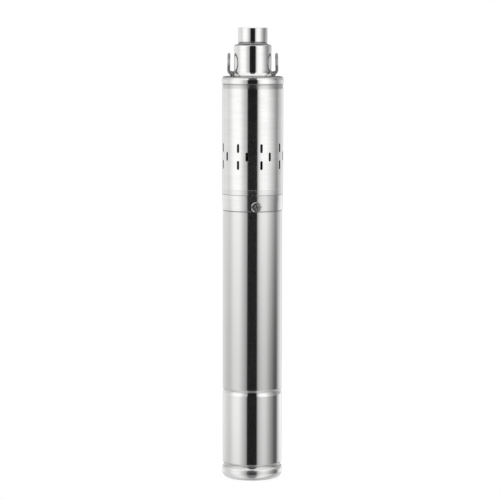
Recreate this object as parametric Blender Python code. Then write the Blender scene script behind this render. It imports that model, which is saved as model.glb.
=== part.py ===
"""Borehole screw pump, 4 inch class, standing on its bottom cap.

Metres, +Z up, origin in the middle of the bottom face. The motor is below, the
intake slots are above it, and the screw pumps up through the discharge head.
Every turned piece is a closed outline of (radius, height) points.
"""

import math

import bmesh
import bpy
from mathutils import Matrix, Vector

# Clearance between neighbouring pieces, and sides of the turned pieces
GAP = 0.0003
LARGE_SIDES = 28
MEDIUM_SIDES = 20
SMALL_SIDES = 16

# Bottom cap and diaphragm
CAP_STEP = 0.00075
CAP_EDGE_RADIUS = 0.0085
CAP_RIM_HEIGHT = 0.0184
CAP_SPIGOT_LENGTH = 0.0193
CAP_FLOOR = 0.0060
CAP_WALL = 0.0097
VENT_RADIUS = 0.0025
DIAPHRAGM_THICKNESS = 0.0022
DIAPHRAGM_DEPTH = 0.0170
DIAPHRAGM_RING_HEIGHT = 0.0040

# Motor tube
MOTOR_STEP = 0.0015
MOTOR_WALL = 0.0015
LOW_GROOVE_HEIGHT = 0.0044
LOW_GROOVE_DEPTH = 0.0020
HIGH_GROOVE_DEPTH = 0.0012
GROOVE_WIDTH = 0.0060
GROOVE_FLOOR_WIDTH = 0.0022

# Capacitor in the bottom chamber
CAPACITOR_RADIUS = 0.0225
CAPACITOR_LENGTH = 0.0720
HOLDER_FLOOR = 0.0030
HOLDER_WALL = 0.0022
HOLDER_CUP_HEIGHT = 0.0140
BUFFER_HEIGHT = 0.0130
BUFFER_HOLE_RADIUS = 0.0090

# Ball bearings
BEARING_SECTION = 0.0100
BEARING_WIDTH = 0.0110
BALL_RADIUS = 0.0030
BALL_COUNT = 7
RACE_SHOULDER = 0.0026
CAGE_HALF_WIDTH = 0.0012
CAGE_HALF_THICKNESS = 0.0013
WASHER_THICKNESS = 0.0008
WASHER_WAVE = 0.0004
WASHER_WAVES = 3

# Lower bearing housing
HOUSING_BELOW_GROOVE = 0.0074
HOUSING_FLOOR = 0.0110
HOUSING_LIP = 0.0038
SHAFT_END_ROOM = 0.0060

# Motor shaft, rotor and windings
SHAFT_RADIUS = 0.0075
SHAFT_SHOULDER = 0.0020
ROTOR_RADIUS = 0.0240
AIR_GAP = 0.0003
CORE_LENGTH = 0.1400
LOWER_END_SPACE = 0.0438
UPPER_END_SPACE = 0.0620
END_RING_HEIGHT = 0.0100
END_RING_STEP = 0.0015
WINDING_HEIGHT = 0.0200
WINDING_INNER_STEP = 0.0027
WINDING_OUTER_SPACE = 0.0040
SLOT_COUNT = 12
SLOT_OPENING = 0.0020
SLOT_LIP = 0.0019
CORE_BACK = 0.0087
SLOT_INNER_WIDTH = 0.0052
SLOT_OUTER_WIDTH = 0.0092

# Shaft seals in the motor adapter
TUBE_ABOVE_BEARING = 0.0111
ADAPTER_SKIRT_HEIGHT = 0.0030
LIP_SEAL_SECTION = 0.0050
LIP_SEAL_HEIGHT = 0.0064
SEAL_LEDGE = 0.0017
SEAL_LEDGE_CLEARANCE = 0.0017
SEAT_CLEARANCE = 0.0009
SEAT_SECTION = 0.0061
SEAT_HEIGHT = 0.0076
FACE_SECTION = 0.0043
FACE_HEIGHT = 0.0060
SPRING_HEIGHT = 0.0104
SPRING_WIRE_RADIUS = 0.0008
SPRING_TURNS = 3
SPRING_STEPS_PER_TURN = 9
SLINGER_RIM = 0.0100
SLINGER_HEIGHT = 0.0030
CHAMBER_WALL = 0.0132
ADAPTER_COLLAR_HEIGHT = 0.0152

# Connection band and its screws
BAND_HEIGHT = 0.0252
BAND_STEP = 0.0004
BAND_TAPER = 0.0007
SCREW_COUNT = 3
SCREW_ANGLE = math.radians(7.3)
SCREW_HEIGHT = 0.0073
SCREW_RADIUS = 0.0025
SCREW_LENGTH = 0.0085
SCREW_HEAD_RADIUS = 0.0050
SCREW_HEAD_HEIGHT = 0.0010
DIMPLE_MARGIN = 0.0020
DIMPLE_DEPTH = 0.0013
RECESS_WIDTH = 0.0012
RECESS_DEPTH = 0.0006

# Intake casing
CASING_RADIUS = 0.0480
CASING_WALL = 0.0015
CASING_LENGTH = 0.1721
CASING_STEP_HEIGHT = 0.0079
CASING_STEP = 0.0003
CASING_TAPER_HEIGHT = 0.0064
CASING_TAPER = 0.0005
INTAKE_WIDTH = 0.0030
INTAKE_HEIGHT = 0.0140
INTAKE_PITCH = 0.0132
INTAKE_MIDDLE = 0.0602
INTAKE_GROUPS = 8
INTAKE_ANGLE = math.radians(-26.7)
INTAKE_OFFSET = math.radians(17.2)

# Coupling and flexible shaft
COUPLING_WALL = 0.0042
COUPLING_GRIP = 0.0120
COUPLING_WEB = 0.0014
FLEX_RADIUS = 0.0045
FLEX_GRIP = 0.0105
FLEX_STRAIGHT = 0.0015
FLEX_STEPS = 12
SET_SCREW_RADIUS = 0.0020

# Screw rotor and its rubber stator
ECCENTRICITY = 0.0030
SCREW_SECTION_RADIUS = 0.0095
SCREW_PITCH = 0.0350
STATOR_TURNS = 2
STEPS_PER_PITCH = 12
SECTION_SIDES = 12
SCREW_CLEARANCE = 0.0003
SCREW_OVERHANG = 0.0025
SCREW_NECK_RADIUS = 0.0080
SCREW_NECK_LENGTH = 0.0100
RUBBER_WALL = 0.0075
STATOR_TUBE_WALL = 0.0027

# Discharge head
HEAD_NECK_HEIGHT = 0.0010
HEAD_NECK_STEP = 0.00075
HEAD_RIM_STEP = 0.0005
HEAD_RIM_HEIGHT = 0.0064
HEAD_SLOPE_HEIGHT = 0.0039
HEAD_SLOPE_WIDTH = 0.0032
HEAD_SHOULDER_RISE = 0.0007
HEAD_SPIGOT_LENGTH = 0.0173
HEAD_SLEEVE_LENGTH = 0.0080
HEAD_SLEEVE_WALL = 0.0047
BOSS_WALL = 0.0030
BOSS_HEIGHT = 0.0495
BOSS_FILLET = 0.0060
BOSS_EDGE = 0.0018
BOSS_CROWN = 0.0032
SOCKET_NECK_HEIGHT = 0.0035
SOCKET_UNDERCUT = 0.0010
SOCKET_WALL = 0.00785
SOCKET_HEIGHT = 0.0230
OUTLET_RADIUS = 0.01515
OUTLET_CHAMFER = 0.0014
THROAT_CLEARANCE = 0.0015
THROAT_RISE = 0.0050

# Lifting rings, welded to the head by a lug
RING_STANDOFF = 0.0085
RING_RADIUS = 0.0133
RING_WIRE_RADIUS = 0.0022
RING_LIFT = 0.0055
LUG_WIDTH = 0.0080

# Cable gland behind the boss
GLAND_INSET = 0.0090
GLAND_SPOT_RADIUS = 0.0073
GLAND_NUT_ACROSS_FLATS = 0.0118
GLAND_NUT_HEIGHT = 0.0080
GLAND_SHANK_RADIUS = 0.0050
GLAND_SHANK_LENGTH = 0.0090
GROMMET_RADIUS = 0.0040
GROMMET_HOLE_RADIUS = 0.0019
GROMMET_HEIGHT = 0.0110

# O-rings
O_RING_WIRE_RADIUS = 0.0010
O_RING_SIDES = 4
HEAD_O_RING_DEPTH = 0.0091
ADAPTER_O_RING_DEPTH = 0.0107

# Radii of the casing and the motor tube, and of what lines up with them
CASING_BORE = CASING_RADIUS - CASING_WALL
COLLAR_RADIUS = CASING_BORE - GAP
MOTOR_RADIUS = CASING_RADIUS - MOTOR_STEP
MOTOR_BORE = MOTOR_RADIUS - MOTOR_WALL
SPIGOT_RADIUS = MOTOR_BORE - GAP
CAP_RADIUS = MOTOR_RADIUS + CAP_STEP
CAP_HOLLOW_RADIUS = SPIGOT_RADIUS - CAP_WALL
BAND_TOP_RADIUS = CASING_RADIUS - BAND_STEP
BAND_BOTTOM_RADIUS = BAND_TOP_RADIUS - BAND_TAPER
DIMPLE_RADIUS = SCREW_HEAD_RADIUS + DIMPLE_MARGIN
HEAD_NECK_RADIUS = CASING_RADIUS - HEAD_NECK_STEP
HEAD_RIM_RADIUS = CASING_RADIUS + HEAD_RIM_STEP
HEAD_SLOPE_RADIUS = HEAD_RIM_RADIUS - HEAD_SLOPE_WIDTH
GLAND_DISTANCE = COLLAR_RADIUS - GLAND_INSET
CHAMBER_RADIUS = COLLAR_RADIUS - CHAMBER_WALL

# Radii round the shaft
SHAFT_BORE = SHAFT_RADIUS + GAP
SHAFT_BODY_RADIUS = SHAFT_RADIUS + SHAFT_SHOULDER
BEARING_RADIUS = SHAFT_RADIUS + BEARING_SECTION
POCKET_RADIUS = BEARING_RADIUS + GAP
BALL_PITCH = (SHAFT_BORE + BEARING_RADIUS) / 2
SEAL_LEDGE_RADIUS = SHAFT_RADIUS + SEAL_LEDGE_CLEARANCE
LIP_SEAL_RADIUS = SHAFT_RADIUS + LIP_SEAL_SECTION
SEAT_BORE_RADIUS = SHAFT_RADIUS + SEAT_CLEARANCE
SEAT_RADIUS = SEAT_BORE_RADIUS + SEAT_SECTION
FACE_RADIUS = SHAFT_RADIUS + FACE_SECTION
COUPLING_RADIUS = SHAFT_BORE + COUPLING_WALL
SLINGER_RADIUS = COUPLING_RADIUS + SLINGER_RIM
STATOR_BORE = ROTOR_RADIUS + AIR_GAP
WINDING_INNER_RADIUS = STATOR_BORE + WINDING_INNER_STEP
WINDING_OUTER_RADIUS = MOTOR_BORE - WINDING_OUTER_SPACE
FLEX_BORE = FLEX_RADIUS + GAP

# Radii round the screw, up to the outlet
SCREW_REACH = SCREW_SECTION_RADIUS + 2 * ECCENTRICITY
RUBBER_RADIUS = SCREW_REACH + RUBBER_WALL
STATOR_TUBE_BORE = RUBBER_RADIUS + GAP
STATOR_TUBE_RADIUS = STATOR_TUBE_BORE + STATOR_TUBE_WALL
HEAD_BORE = STATOR_TUBE_RADIUS + GAP
THROAT_RADIUS = SCREW_REACH + THROAT_CLEARANCE
BOSS_RADIUS = HEAD_BORE + BOSS_WALL
RING_DISTANCE = BOSS_RADIUS + RING_STANDOFF
SOCKET_RADIUS = OUTLET_RADIUS + SOCKET_WALL
SOCKET_NECK_RADIUS = SOCKET_RADIUS - SOCKET_UNDERCUT

# Heights in the motor, from the base up
CAP_TOP = CAP_RIM_HEIGHT + CAP_SPIGOT_LENGTH
TUBE_BOTTOM = CAP_RIM_HEIGHT + GAP
LOW_GROOVE = TUBE_BOTTOM + LOW_GROOVE_HEIGHT
DIAPHRAGM_SEAT = CAP_TOP + GAP
DIAPHRAGM_TOP = DIAPHRAGM_SEAT + DIAPHRAGM_THICKNESS
DIAPHRAGM_RING_TOP = DIAPHRAGM_TOP + GAP + DIAPHRAGM_RING_HEIGHT
HOLDER_BOTTOM = DIAPHRAGM_RING_TOP + GAP
CAPACITOR_BOTTOM = HOLDER_BOTTOM + HOLDER_FLOOR + GAP
CAPACITOR_TOP = CAPACITOR_BOTTOM + CAPACITOR_LENGTH
HOUSING_BOTTOM = CAPACITOR_TOP + GAP + BUFFER_HEIGHT + GAP
HIGH_GROOVE = HOUSING_BOTTOM + HOUSING_BELOW_GROOVE
POCKET_FLOOR = HOUSING_BOTTOM + HOUSING_FLOOR
WASHER_MIDDLE = POCKET_FLOOR + GAP + WASHER_WAVE + WASHER_THICKNESS / 2
LOWER_BEARING = WASHER_MIDDLE + WASHER_THICKNESS / 2 + WASHER_WAVE + GAP
LOWER_BEARING_TOP = LOWER_BEARING + BEARING_WIDTH
HOUSING_TOP = LOWER_BEARING_TOP + HOUSING_LIP
SHAFT_BOTTOM = POCKET_FLOOR - SHAFT_END_ROOM + 2 * GAP
CORE_BOTTOM = LOWER_BEARING_TOP + LOWER_END_SPACE
CORE_TOP = CORE_BOTTOM + CORE_LENGTH
UPPER_BEARING = CORE_TOP + UPPER_END_SPACE
UPPER_BEARING_TOP = UPPER_BEARING + BEARING_WIDTH
TUBE_TOP = UPPER_BEARING_TOP + TUBE_ABOVE_BEARING

# Heights along the shaft seals
LIP_SEAL_BOTTOM = UPPER_BEARING_TOP + GAP + SEAL_LEDGE + GAP
LIP_SEAL_TOP = LIP_SEAL_BOTTOM + LIP_SEAL_HEIGHT
SEAT_BOTTOM = LIP_SEAL_TOP + 2 * GAP
SEAT_TOP = SEAT_BOTTOM + SEAT_HEIGHT
CHAMBER_FLOOR = SEAT_TOP
FACE_BOTTOM = SEAT_TOP + GAP
FACE_TOP = FACE_BOTTOM + FACE_HEIGHT
SPRING_BOTTOM = FACE_TOP + GAP
SPRING_TOP = SPRING_BOTTOM + SPRING_HEIGHT
SLINGER_BOTTOM = SPRING_TOP + GAP
COUPLING_BOTTOM = SLINGER_BOTTOM + SLINGER_HEIGHT + GAP
COUPLING_WEB_BOTTOM = COUPLING_BOTTOM + COUPLING_GRIP
COUPLING_WEB_TOP = COUPLING_WEB_BOTTOM + COUPLING_WEB
COUPLING_TOP = COUPLING_WEB_TOP + GAP + FLEX_GRIP
SHAFT_TOP = COUPLING_WEB_BOTTOM - GAP

# Heights of the pump section
BAND_BOTTOM = TUBE_TOP + GAP
BAND_TOP = BAND_BOTTOM + BAND_HEIGHT
CASING_BOTTOM = BAND_TOP + GAP
CASING_TOP = CASING_BOTTOM + CASING_LENGTH
ADAPTER_BOTTOM = UPPER_BEARING - ADAPTER_SKIRT_HEIGHT
ADAPTER_TOP = CASING_BOTTOM + ADAPTER_COLLAR_HEIGHT
HEAD_NECK_BOTTOM = CASING_TOP + GAP
HEAD_RIM_BOTTOM = HEAD_NECK_BOTTOM + HEAD_NECK_HEIGHT
HEAD_RIM_TOP = HEAD_RIM_BOTTOM + HEAD_RIM_HEIGHT
HEAD_SLOPE_TOP = HEAD_RIM_TOP + HEAD_SLOPE_HEIGHT
FLANGE_TOP = HEAD_SLOPE_TOP + HEAD_SHOULDER_RISE
BOSS_TOP = FLANGE_TOP + BOSS_HEIGHT
SOCKET_BOTTOM = BOSS_TOP + SOCKET_NECK_HEIGHT
SOCKET_TOP = SOCKET_BOTTOM + SOCKET_HEIGHT
HEAD_SPIGOT_BOTTOM = HEAD_NECK_BOTTOM - HEAD_SPIGOT_LENGTH
HEAD_BOTTOM = HEAD_SPIGOT_BOTTOM - HEAD_SLEEVE_LENGTH
STATOR_SEAT = BOSS_TOP - BOSS_CROWN
STATOR_TOP = STATOR_SEAT - GAP
STATOR_LENGTH = STATOR_TURNS * 2 * SCREW_PITCH
STATOR_BOTTOM = STATOR_TOP - STATOR_LENGTH
SCREW_BOTTOM = STATOR_BOTTOM - SCREW_OVERHANG
SCREW_TOP = STATOR_TOP + SCREW_OVERHANG
SCREW_NECK_BOTTOM = SCREW_BOTTOM - SCREW_NECK_LENGTH
FLEX_BOTTOM = COUPLING_WEB_TOP + GAP
FLEX_TOP = SCREW_NECK_BOTTOM + FLEX_GRIP
GLAND_SPOT = HEAD_SLOPE_TOP - GAP
HEAD_O_RING = HEAD_NECK_BOTTOM - HEAD_O_RING_DEPTH
ADAPTER_O_RING = TUBE_TOP - ADAPTER_O_RING_DEPTH
O_RING_MIDDLE = O_RING_WIRE_RADIUS + GAP
SHARP_ANGLE = math.radians(32)
FULL_TURN = 2 * math.pi


def clear_scene():
    for old in list(bpy.data.objects):
        bpy.data.objects.remove(old, do_unlink=True)


def finish(name, colour, roughness, metallic):
    """A Principled material of one colour."""
    material = bpy.data.materials.new(name)
    material.use_nodes = True
    shader = material.node_tree.nodes["Principled BSDF"]
    shader.inputs["Base Color"].default_value = (*colour, 1)
    shader.inputs["Roughness"].default_value = roughness
    shader.inputs["Metallic"].default_value = metallic
    material.diffuse_color = (*colour, 1)
    return material


def make_object(name, bm, material=None, at=(0, 0, 0)):
    """Turns a bmesh into a named object, with its faces pointing outwards."""
    bmesh.ops.recalc_face_normals(bm, faces=bm.faces[:])
    mesh = bpy.data.meshes.new(name)
    bm.to_mesh(mesh)
    bm.free()
    if material:
        mesh.materials.append(material)
    mesh.shade_smooth()
    mesh.set_sharp_from_angle(angle=SHARP_ANGLE)
    made = bpy.data.objects.new(name, mesh)
    made.location = at
    bpy.context.scene.collection.objects.link(made)
    return made


def turned(profile, sides):
    """A bmesh of a (radius, height) outline spun round Z, open or closed on the axis."""
    bm = bmesh.new()
    points = [bm.verts.new((radius, 0, height)) for radius, height in profile]
    pairs = list(zip(points, points[1:]))
    if profile[0][0] > 0 or profile[-1][0] > 0:
        pairs.append((points[-1], points[0]))
    edges = [bm.edges.new(pair) for pair in pairs]
    bmesh.ops.spin(
        bm, geom=points + edges, cent=(0, 0, 0), axis=(0, 0, 1),
        angle=FULL_TURN, steps=sides, use_merge=True,
    )
    bmesh.ops.remove_doubles(bm, verts=bm.verts[:], dist=1e-6)
    return bm


def loft(sections, bm=None):
    """A bmesh through equal loops of points, with a cap on each end."""
    bm = bm or bmesh.new()
    loops = [[bm.verts.new(point) for point in section] for section in sections]
    for low, high in zip(loops, loops[1:]):
        for i in range(len(low)):
            j = (i + 1) % len(low)
            bm.faces.new((low[i], low[j], high[j], high[i]))
    bm.faces.new(loops[0])
    bm.faces.new(loops[-1])
    return bm


def plate(outlines, bottom, top):
    """A bmesh of flat outlines, the first one outside and the others holes, raised to a height."""
    bm = bmesh.new()
    edges = []
    for outline in outlines:
        loop = [bm.verts.new((x, y, bottom)) for x, y in outline]
        edges += [bm.edges.new(pair) for pair in zip(loop, loop[1:] + loop[:1])]
    bmesh.ops.triangle_fill(bm, edges=edges, use_beauty=True)
    raised = bmesh.ops.extrude_face_region(bm, geom=bm.faces[:])["geom"]
    upper = [item for item in raised if isinstance(item, bmesh.types.BMVert)]
    bmesh.ops.translate(bm, verts=upper, vec=(0, 0, top - bottom))
    return bm


def combine(target, other, operation):
    """Joins or cuts the target with another object, which isn't a piece itself."""
    modifier = target.modifiers.new(other.name, "BOOLEAN")
    modifier.operation = operation
    modifier.solver = "EXACT"
    modifier.object = other
    other.hide_render = True
    other.display_type = "WIRE"


def circle(radius, sides, centre=(0, 0), start=0.0):
    angles = [start + FULL_TURN * i / sides for i in range(sides)]
    return [(centre[0] + radius * math.cos(a), centre[1] + radius * math.sin(a)) for a in angles]


def arc(centre, radius, first, last, steps):
    """Points on a circle in the (radius, height) plane, angles in degrees."""
    points = []
    for i in range(steps + 1):
        angle = math.radians(first + (last - first) * i / steps)
        points.append((centre[0] + radius * math.cos(angle), centre[1] + radius * math.sin(angle)))
    return points


def tube(inner, outer, bottom, top):
    return [(inner, bottom), (inner, top), (outer, top), (outer, bottom)]


def facing(angle):
    """Outward and sideways directions at an angle to the right of the front."""
    outward = Vector((math.sin(angle), -math.cos(angle), 0))
    sideways = Vector((math.cos(angle), math.sin(angle), 0))
    return outward, sideways


def radial_section(angle, distance, height, outline):
    """An outline of (sideways, upward) points, set square to a radius of the pump."""
    outward, sideways = facing(angle)
    centre = outward * distance + Vector((0, 0, height))
    return [centre + sideways * x + Vector((0, 0, y)) for x, y in outline]


def groove(surface, middle, depth, downwards):
    """The three sides of a rolled groove, as seen going up or down a surface."""
    points = [
        (surface, middle - GROOVE_WIDTH / 2),
        (surface - depth, middle - GROOVE_FLOOR_WIDTH / 2),
        (surface - depth, middle + GROOVE_FLOOR_WIDTH / 2),
        (surface, middle + GROOVE_WIDTH / 2),
    ]
    return points[::-1] if downwards else points


def o_ring_groove(surface, middle, downwards):
    """A square groove that takes an O-ring under a surface."""
    floor = surface - 2 * O_RING_WIRE_RADIUS - GAP
    half = O_RING_MIDDLE
    points = [
        (surface, middle - half), (floor, middle - half),
        (floor, middle + half), (surface, middle + half),
    ]
    return points[::-1] if downwards else points


def o_ring(name, surface, middle):
    ring = arc((surface - O_RING_WIRE_RADIUS, middle), O_RING_WIRE_RADIUS, 0, 360, O_RING_SIDES)[:-1]
    make_object(name, turned(ring, LARGE_SIDES), RUBBER)


clear_scene()
POLISHED_STEEL = finish("polished_steel", (0.62, 0.62, 0.61), 0.12, 1)
BRUSHED_STEEL = finish("brushed_steel", (0.56, 0.56, 0.55), 0.26, 1)
CAST_IRON = finish("cast_iron", (0.16, 0.17, 0.18), 0.6, 0.8)
LAMINATION = finish("lamination", (0.22, 0.22, 0.23), 0.45, 0.9)
COPPER = finish("enamelled_copper", (0.52, 0.2, 0.08), 0.35, 0.9)
ALUMINIUM = finish("aluminium", (0.66, 0.67, 0.68), 0.35, 1)
BEARING_STEEL = finish("bearing_steel", (0.5, 0.51, 0.53), 0.15, 1)
RUBBER = finish("rubber", (0.02, 0.02, 0.02), 0.75, 0)
CERAMIC = finish("ceramic", (0.82, 0.8, 0.76), 0.25, 0)
CARBON = finish("carbon", (0.04, 0.04, 0.045), 0.4, 0)
PLASTIC = finish("black_plastic", (0.03, 0.03, 0.032), 0.4, 0)


def bottom_cap():
    """Cup with a rounded foot, a rim as wide as the tube and a spigot inside the tube."""
    foot = arc((CAP_RADIUS - CAP_EDGE_RADIUS, CAP_EDGE_RADIUS), CAP_EDGE_RADIUS, -90, 0, 3)
    spigot = groove(SPIGOT_RADIUS, LOW_GROOVE, LOW_GROOVE_DEPTH, False)
    profile = [(VENT_RADIUS, 0)] + foot + [(CAP_RADIUS, CAP_RIM_HEIGHT)]
    profile += [(SPIGOT_RADIUS, CAP_RIM_HEIGHT)] + spigot + [(SPIGOT_RADIUS, CAP_TOP)]
    profile += [(CAP_HOLLOW_RADIUS, CAP_TOP), (CAP_HOLLOW_RADIUS, CAP_FLOOR), (VENT_RADIUS, CAP_FLOOR)]
    make_object("bottom_cap", turned(profile, LARGE_SIDES), BRUSHED_STEEL)


def diaphragm():
    """Rubber cup that lets the motor filling expand, clamped on the rim of the cap."""
    wall = CAP_HOLLOW_RADIUS - 2 * DIAPHRAGM_THICKNESS
    floor = CAP_TOP - DIAPHRAGM_DEPTH
    thickness = DIAPHRAGM_THICKNESS
    profile = [
        (0, floor), (wall - thickness, floor), (wall, floor + thickness), (wall, DIAPHRAGM_SEAT),
        (SPIGOT_RADIUS, DIAPHRAGM_SEAT), (SPIGOT_RADIUS, DIAPHRAGM_TOP),
        (wall - thickness, DIAPHRAGM_TOP), (wall - thickness, floor + 2 * thickness),
        (wall - 2 * thickness, floor + thickness), (0, floor + thickness),
    ]
    make_object("pressure_diaphragm", turned(profile, MEDIUM_SIDES), RUBBER)
    ring = tube(wall, SPIGOT_RADIUS, DIAPHRAGM_TOP + GAP, DIAPHRAGM_RING_TOP)
    make_object("diaphragm_ring", turned(ring, MEDIUM_SIDES), ALUMINIUM)


def capacitor_set():
    """Run capacitor in a moulded cup, with a rubber buffer between it and the housing."""
    cup = CAPACITOR_RADIUS + GAP
    cup_top = HOLDER_BOTTOM + HOLDER_FLOOR + HOLDER_CUP_HEIGHT
    floor_top = HOLDER_BOTTOM + HOLDER_FLOOR
    holder = [
        (BUFFER_HOLE_RADIUS, HOLDER_BOTTOM), (SPIGOT_RADIUS, HOLDER_BOTTOM),
        (SPIGOT_RADIUS, floor_top), (cup + HOLDER_WALL, floor_top),
        (cup + HOLDER_WALL, cup_top), (cup, cup_top), (cup, floor_top), (BUFFER_HOLE_RADIUS, floor_top),
    ]
    make_object("capacitor_holder", turned(holder, MEDIUM_SIDES), PLASTIC)
    rim = HOLDER_WALL / 2
    can = [
        (0, CAPACITOR_BOTTOM), (CAPACITOR_RADIUS, CAPACITOR_BOTTOM), (CAPACITOR_RADIUS, CAPACITOR_TOP),
        (CAPACITOR_RADIUS - rim, CAPACITOR_TOP), (CAPACITOR_RADIUS - 2 * rim, CAPACITOR_TOP - rim),
        (0, CAPACITOR_TOP - rim),
    ]
    make_object("capacitor", turned(can, MEDIUM_SIDES), ALUMINIUM)
    buffer_bottom = CAPACITOR_TOP + GAP
    buffer = tube(BUFFER_HOLE_RADIUS, CAPACITOR_RADIUS, buffer_bottom, buffer_bottom + BUFFER_HEIGHT)
    make_object("capacitor_buffer", turned(buffer, MEDIUM_SIDES), RUBBER)


def lower_bearing_housing():
    """Casting held by the upper rolled groove, with a pocket for the lower bearing."""
    floor = POCKET_FLOOR - SHAFT_END_ROOM
    profile = [(0, HOUSING_BOTTOM), (SPIGOT_RADIUS, HOUSING_BOTTOM)]
    profile += groove(SPIGOT_RADIUS, HIGH_GROOVE, HIGH_GROOVE_DEPTH, False)
    profile += [
        (SPIGOT_RADIUS, HOUSING_TOP), (POCKET_RADIUS, HOUSING_TOP), (POCKET_RADIUS, POCKET_FLOOR),
        (BALL_PITCH, POCKET_FLOOR), (BALL_PITCH, floor), (0, floor),
    ]
    make_object("lower_bearing_housing", turned(profile, LARGE_SIDES), CAST_IRON)


def wave_washer():
    """Thin ring with waves, which presses the lower bearing upwards."""
    inner = BALL_PITCH - BALL_RADIUS / 2
    half = WASHER_THICKNESS / 2
    sections = tube(inner, BEARING_RADIUS, WASHER_MIDDLE - half, WASHER_MIDDLE + half)
    bm = turned(sections, MEDIUM_SIDES)
    for vertex in bm.verts:
        angle = math.atan2(vertex.co.y, vertex.co.x)
        vertex.co.z += WASHER_WAVE * math.cos(WASHER_WAVES * angle)
    make_object("wave_washer", bm, BEARING_STEEL)


def ball_bearing(prefix, bottom):
    """Outer race, inner race, and the balls in their cage."""
    middle = bottom + BEARING_WIDTH / 2
    top = bottom + BEARING_WIDTH
    track = BALL_RADIUS + GAP
    reach = math.degrees(math.acos((BEARING_RADIUS - RACE_SHOULDER - BALL_PITCH) / track))
    outer_track = arc((BALL_PITCH, middle), track, reach, -reach, 2)
    shoulder = outer_track[0][0]
    outer = [(BEARING_RADIUS, bottom), (BEARING_RADIUS, top), (shoulder, top)]
    outer += outer_track + [(shoulder, bottom)]
    make_object(prefix + "_bearing_outer_race", turned(outer, MEDIUM_SIDES), BEARING_STEEL)
    inner_track = arc((BALL_PITCH, middle), track, 180 + reach, 180 - reach, 2)
    shoulder = inner_track[0][0]
    inner = [(SHAFT_BORE, top), (SHAFT_BORE, bottom), (shoulder, bottom)]
    inner += inner_track + [(shoulder, top)]
    make_object(prefix + "_bearing_inner_race", turned(inner, SMALL_SIDES), BEARING_STEEL)
    ring = tube(
        BALL_PITCH - CAGE_HALF_THICKNESS, BALL_PITCH + CAGE_HALF_THICKNESS,
        middle - CAGE_HALF_WIDTH, middle + CAGE_HALF_WIDTH,
    )
    cage = make_object(prefix + "_bearing_balls", turned(ring, 2 * BALL_COUNT), BEARING_STEEL)
    balls = bmesh.new()
    for i in range(BALL_COUNT):
        angle = FULL_TURN * (i + 0.5) / BALL_COUNT
        place = Matrix.Rotation(angle, 4, "Z") @ Matrix.Translation((BALL_PITCH, 0, middle))
        bmesh.ops.create_uvsphere(balls, u_segments=6, v_segments=4, radius=BALL_RADIUS, matrix=place)
    combine(cage, make_object(prefix + "_ball_set", balls, BEARING_STEEL), "UNION")


def motor_shaft():
    """Shaft with a thicker body between the bearings."""
    shoulder_low = LOWER_BEARING_TOP + GAP
    shoulder_high = UPPER_BEARING - GAP
    profile = [
        (0, SHAFT_BOTTOM), (SHAFT_RADIUS, SHAFT_BOTTOM), (SHAFT_RADIUS, shoulder_low),
        (SHAFT_BODY_RADIUS, shoulder_low), (SHAFT_BODY_RADIUS, shoulder_high),
        (SHAFT_RADIUS, shoulder_high), (SHAFT_RADIUS, SHAFT_TOP), (0, SHAFT_TOP),
    ]
    make_object("motor_shaft", turned(profile, SMALL_SIDES), BEARING_STEEL)


def rotor_stack():
    """Laminated core on the shaft, with a cast ring at each end."""
    bore = SHAFT_BODY_RADIUS + GAP
    core = tube(bore, ROTOR_RADIUS, CORE_BOTTOM, CORE_TOP)
    make_object("rotor_core", turned(core, MEDIUM_SIDES), LAMINATION)
    inner = (bore + ROTOR_RADIUS) / 2
    outer = ROTOR_RADIUS - END_RING_STEP
    lower = tube(inner, outer, CORE_BOTTOM - GAP - END_RING_HEIGHT, CORE_BOTTOM - GAP)
    upper = tube(inner, outer, CORE_TOP + GAP, CORE_TOP + GAP + END_RING_HEIGHT)
    make_object("rotor_end_ring_lower", turned(lower, MEDIUM_SIDES), ALUMINIUM)
    make_object("rotor_end_ring_upper", turned(upper, MEDIUM_SIDES), ALUMINIUM)


def slot_point(slot, radius, offset):
    """A point in the slot's own direction, at an offset to its side."""
    angle = FULL_TURN * slot / SLOT_COUNT
    x = radius * math.cos(angle) - offset * math.sin(angle)
    y = radius * math.sin(angle) + offset * math.cos(angle)
    return x, y


def stator_core():
    """Laminated stack with open slots on its bore."""
    slot_inner = STATOR_BORE + SLOT_LIP
    slot_outer = SPIGOT_RADIUS - CORE_BACK
    half_opening = SLOT_OPENING / 2
    bore = []
    for slot in range(SLOT_COUNT):
        bore += [
            slot_point(slot, STATOR_BORE, -half_opening), slot_point(slot, slot_inner, -half_opening),
            slot_point(slot, slot_inner, -SLOT_INNER_WIDTH / 2),
            slot_point(slot, slot_outer, -SLOT_OUTER_WIDTH / 2),
            slot_point(slot, slot_outer, SLOT_OUTER_WIDTH / 2),
            slot_point(slot, slot_inner, SLOT_INNER_WIDTH / 2),
            slot_point(slot, slot_inner, half_opening), slot_point(slot, STATOR_BORE, half_opening),
            slot_point(slot + 0.5, STATOR_BORE, 0),
        ]
    rim = circle(SPIGOT_RADIUS, LARGE_SIDES)
    make_object("stator_core", plate([rim, bore], CORE_BOTTOM, CORE_TOP), LAMINATION)


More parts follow.
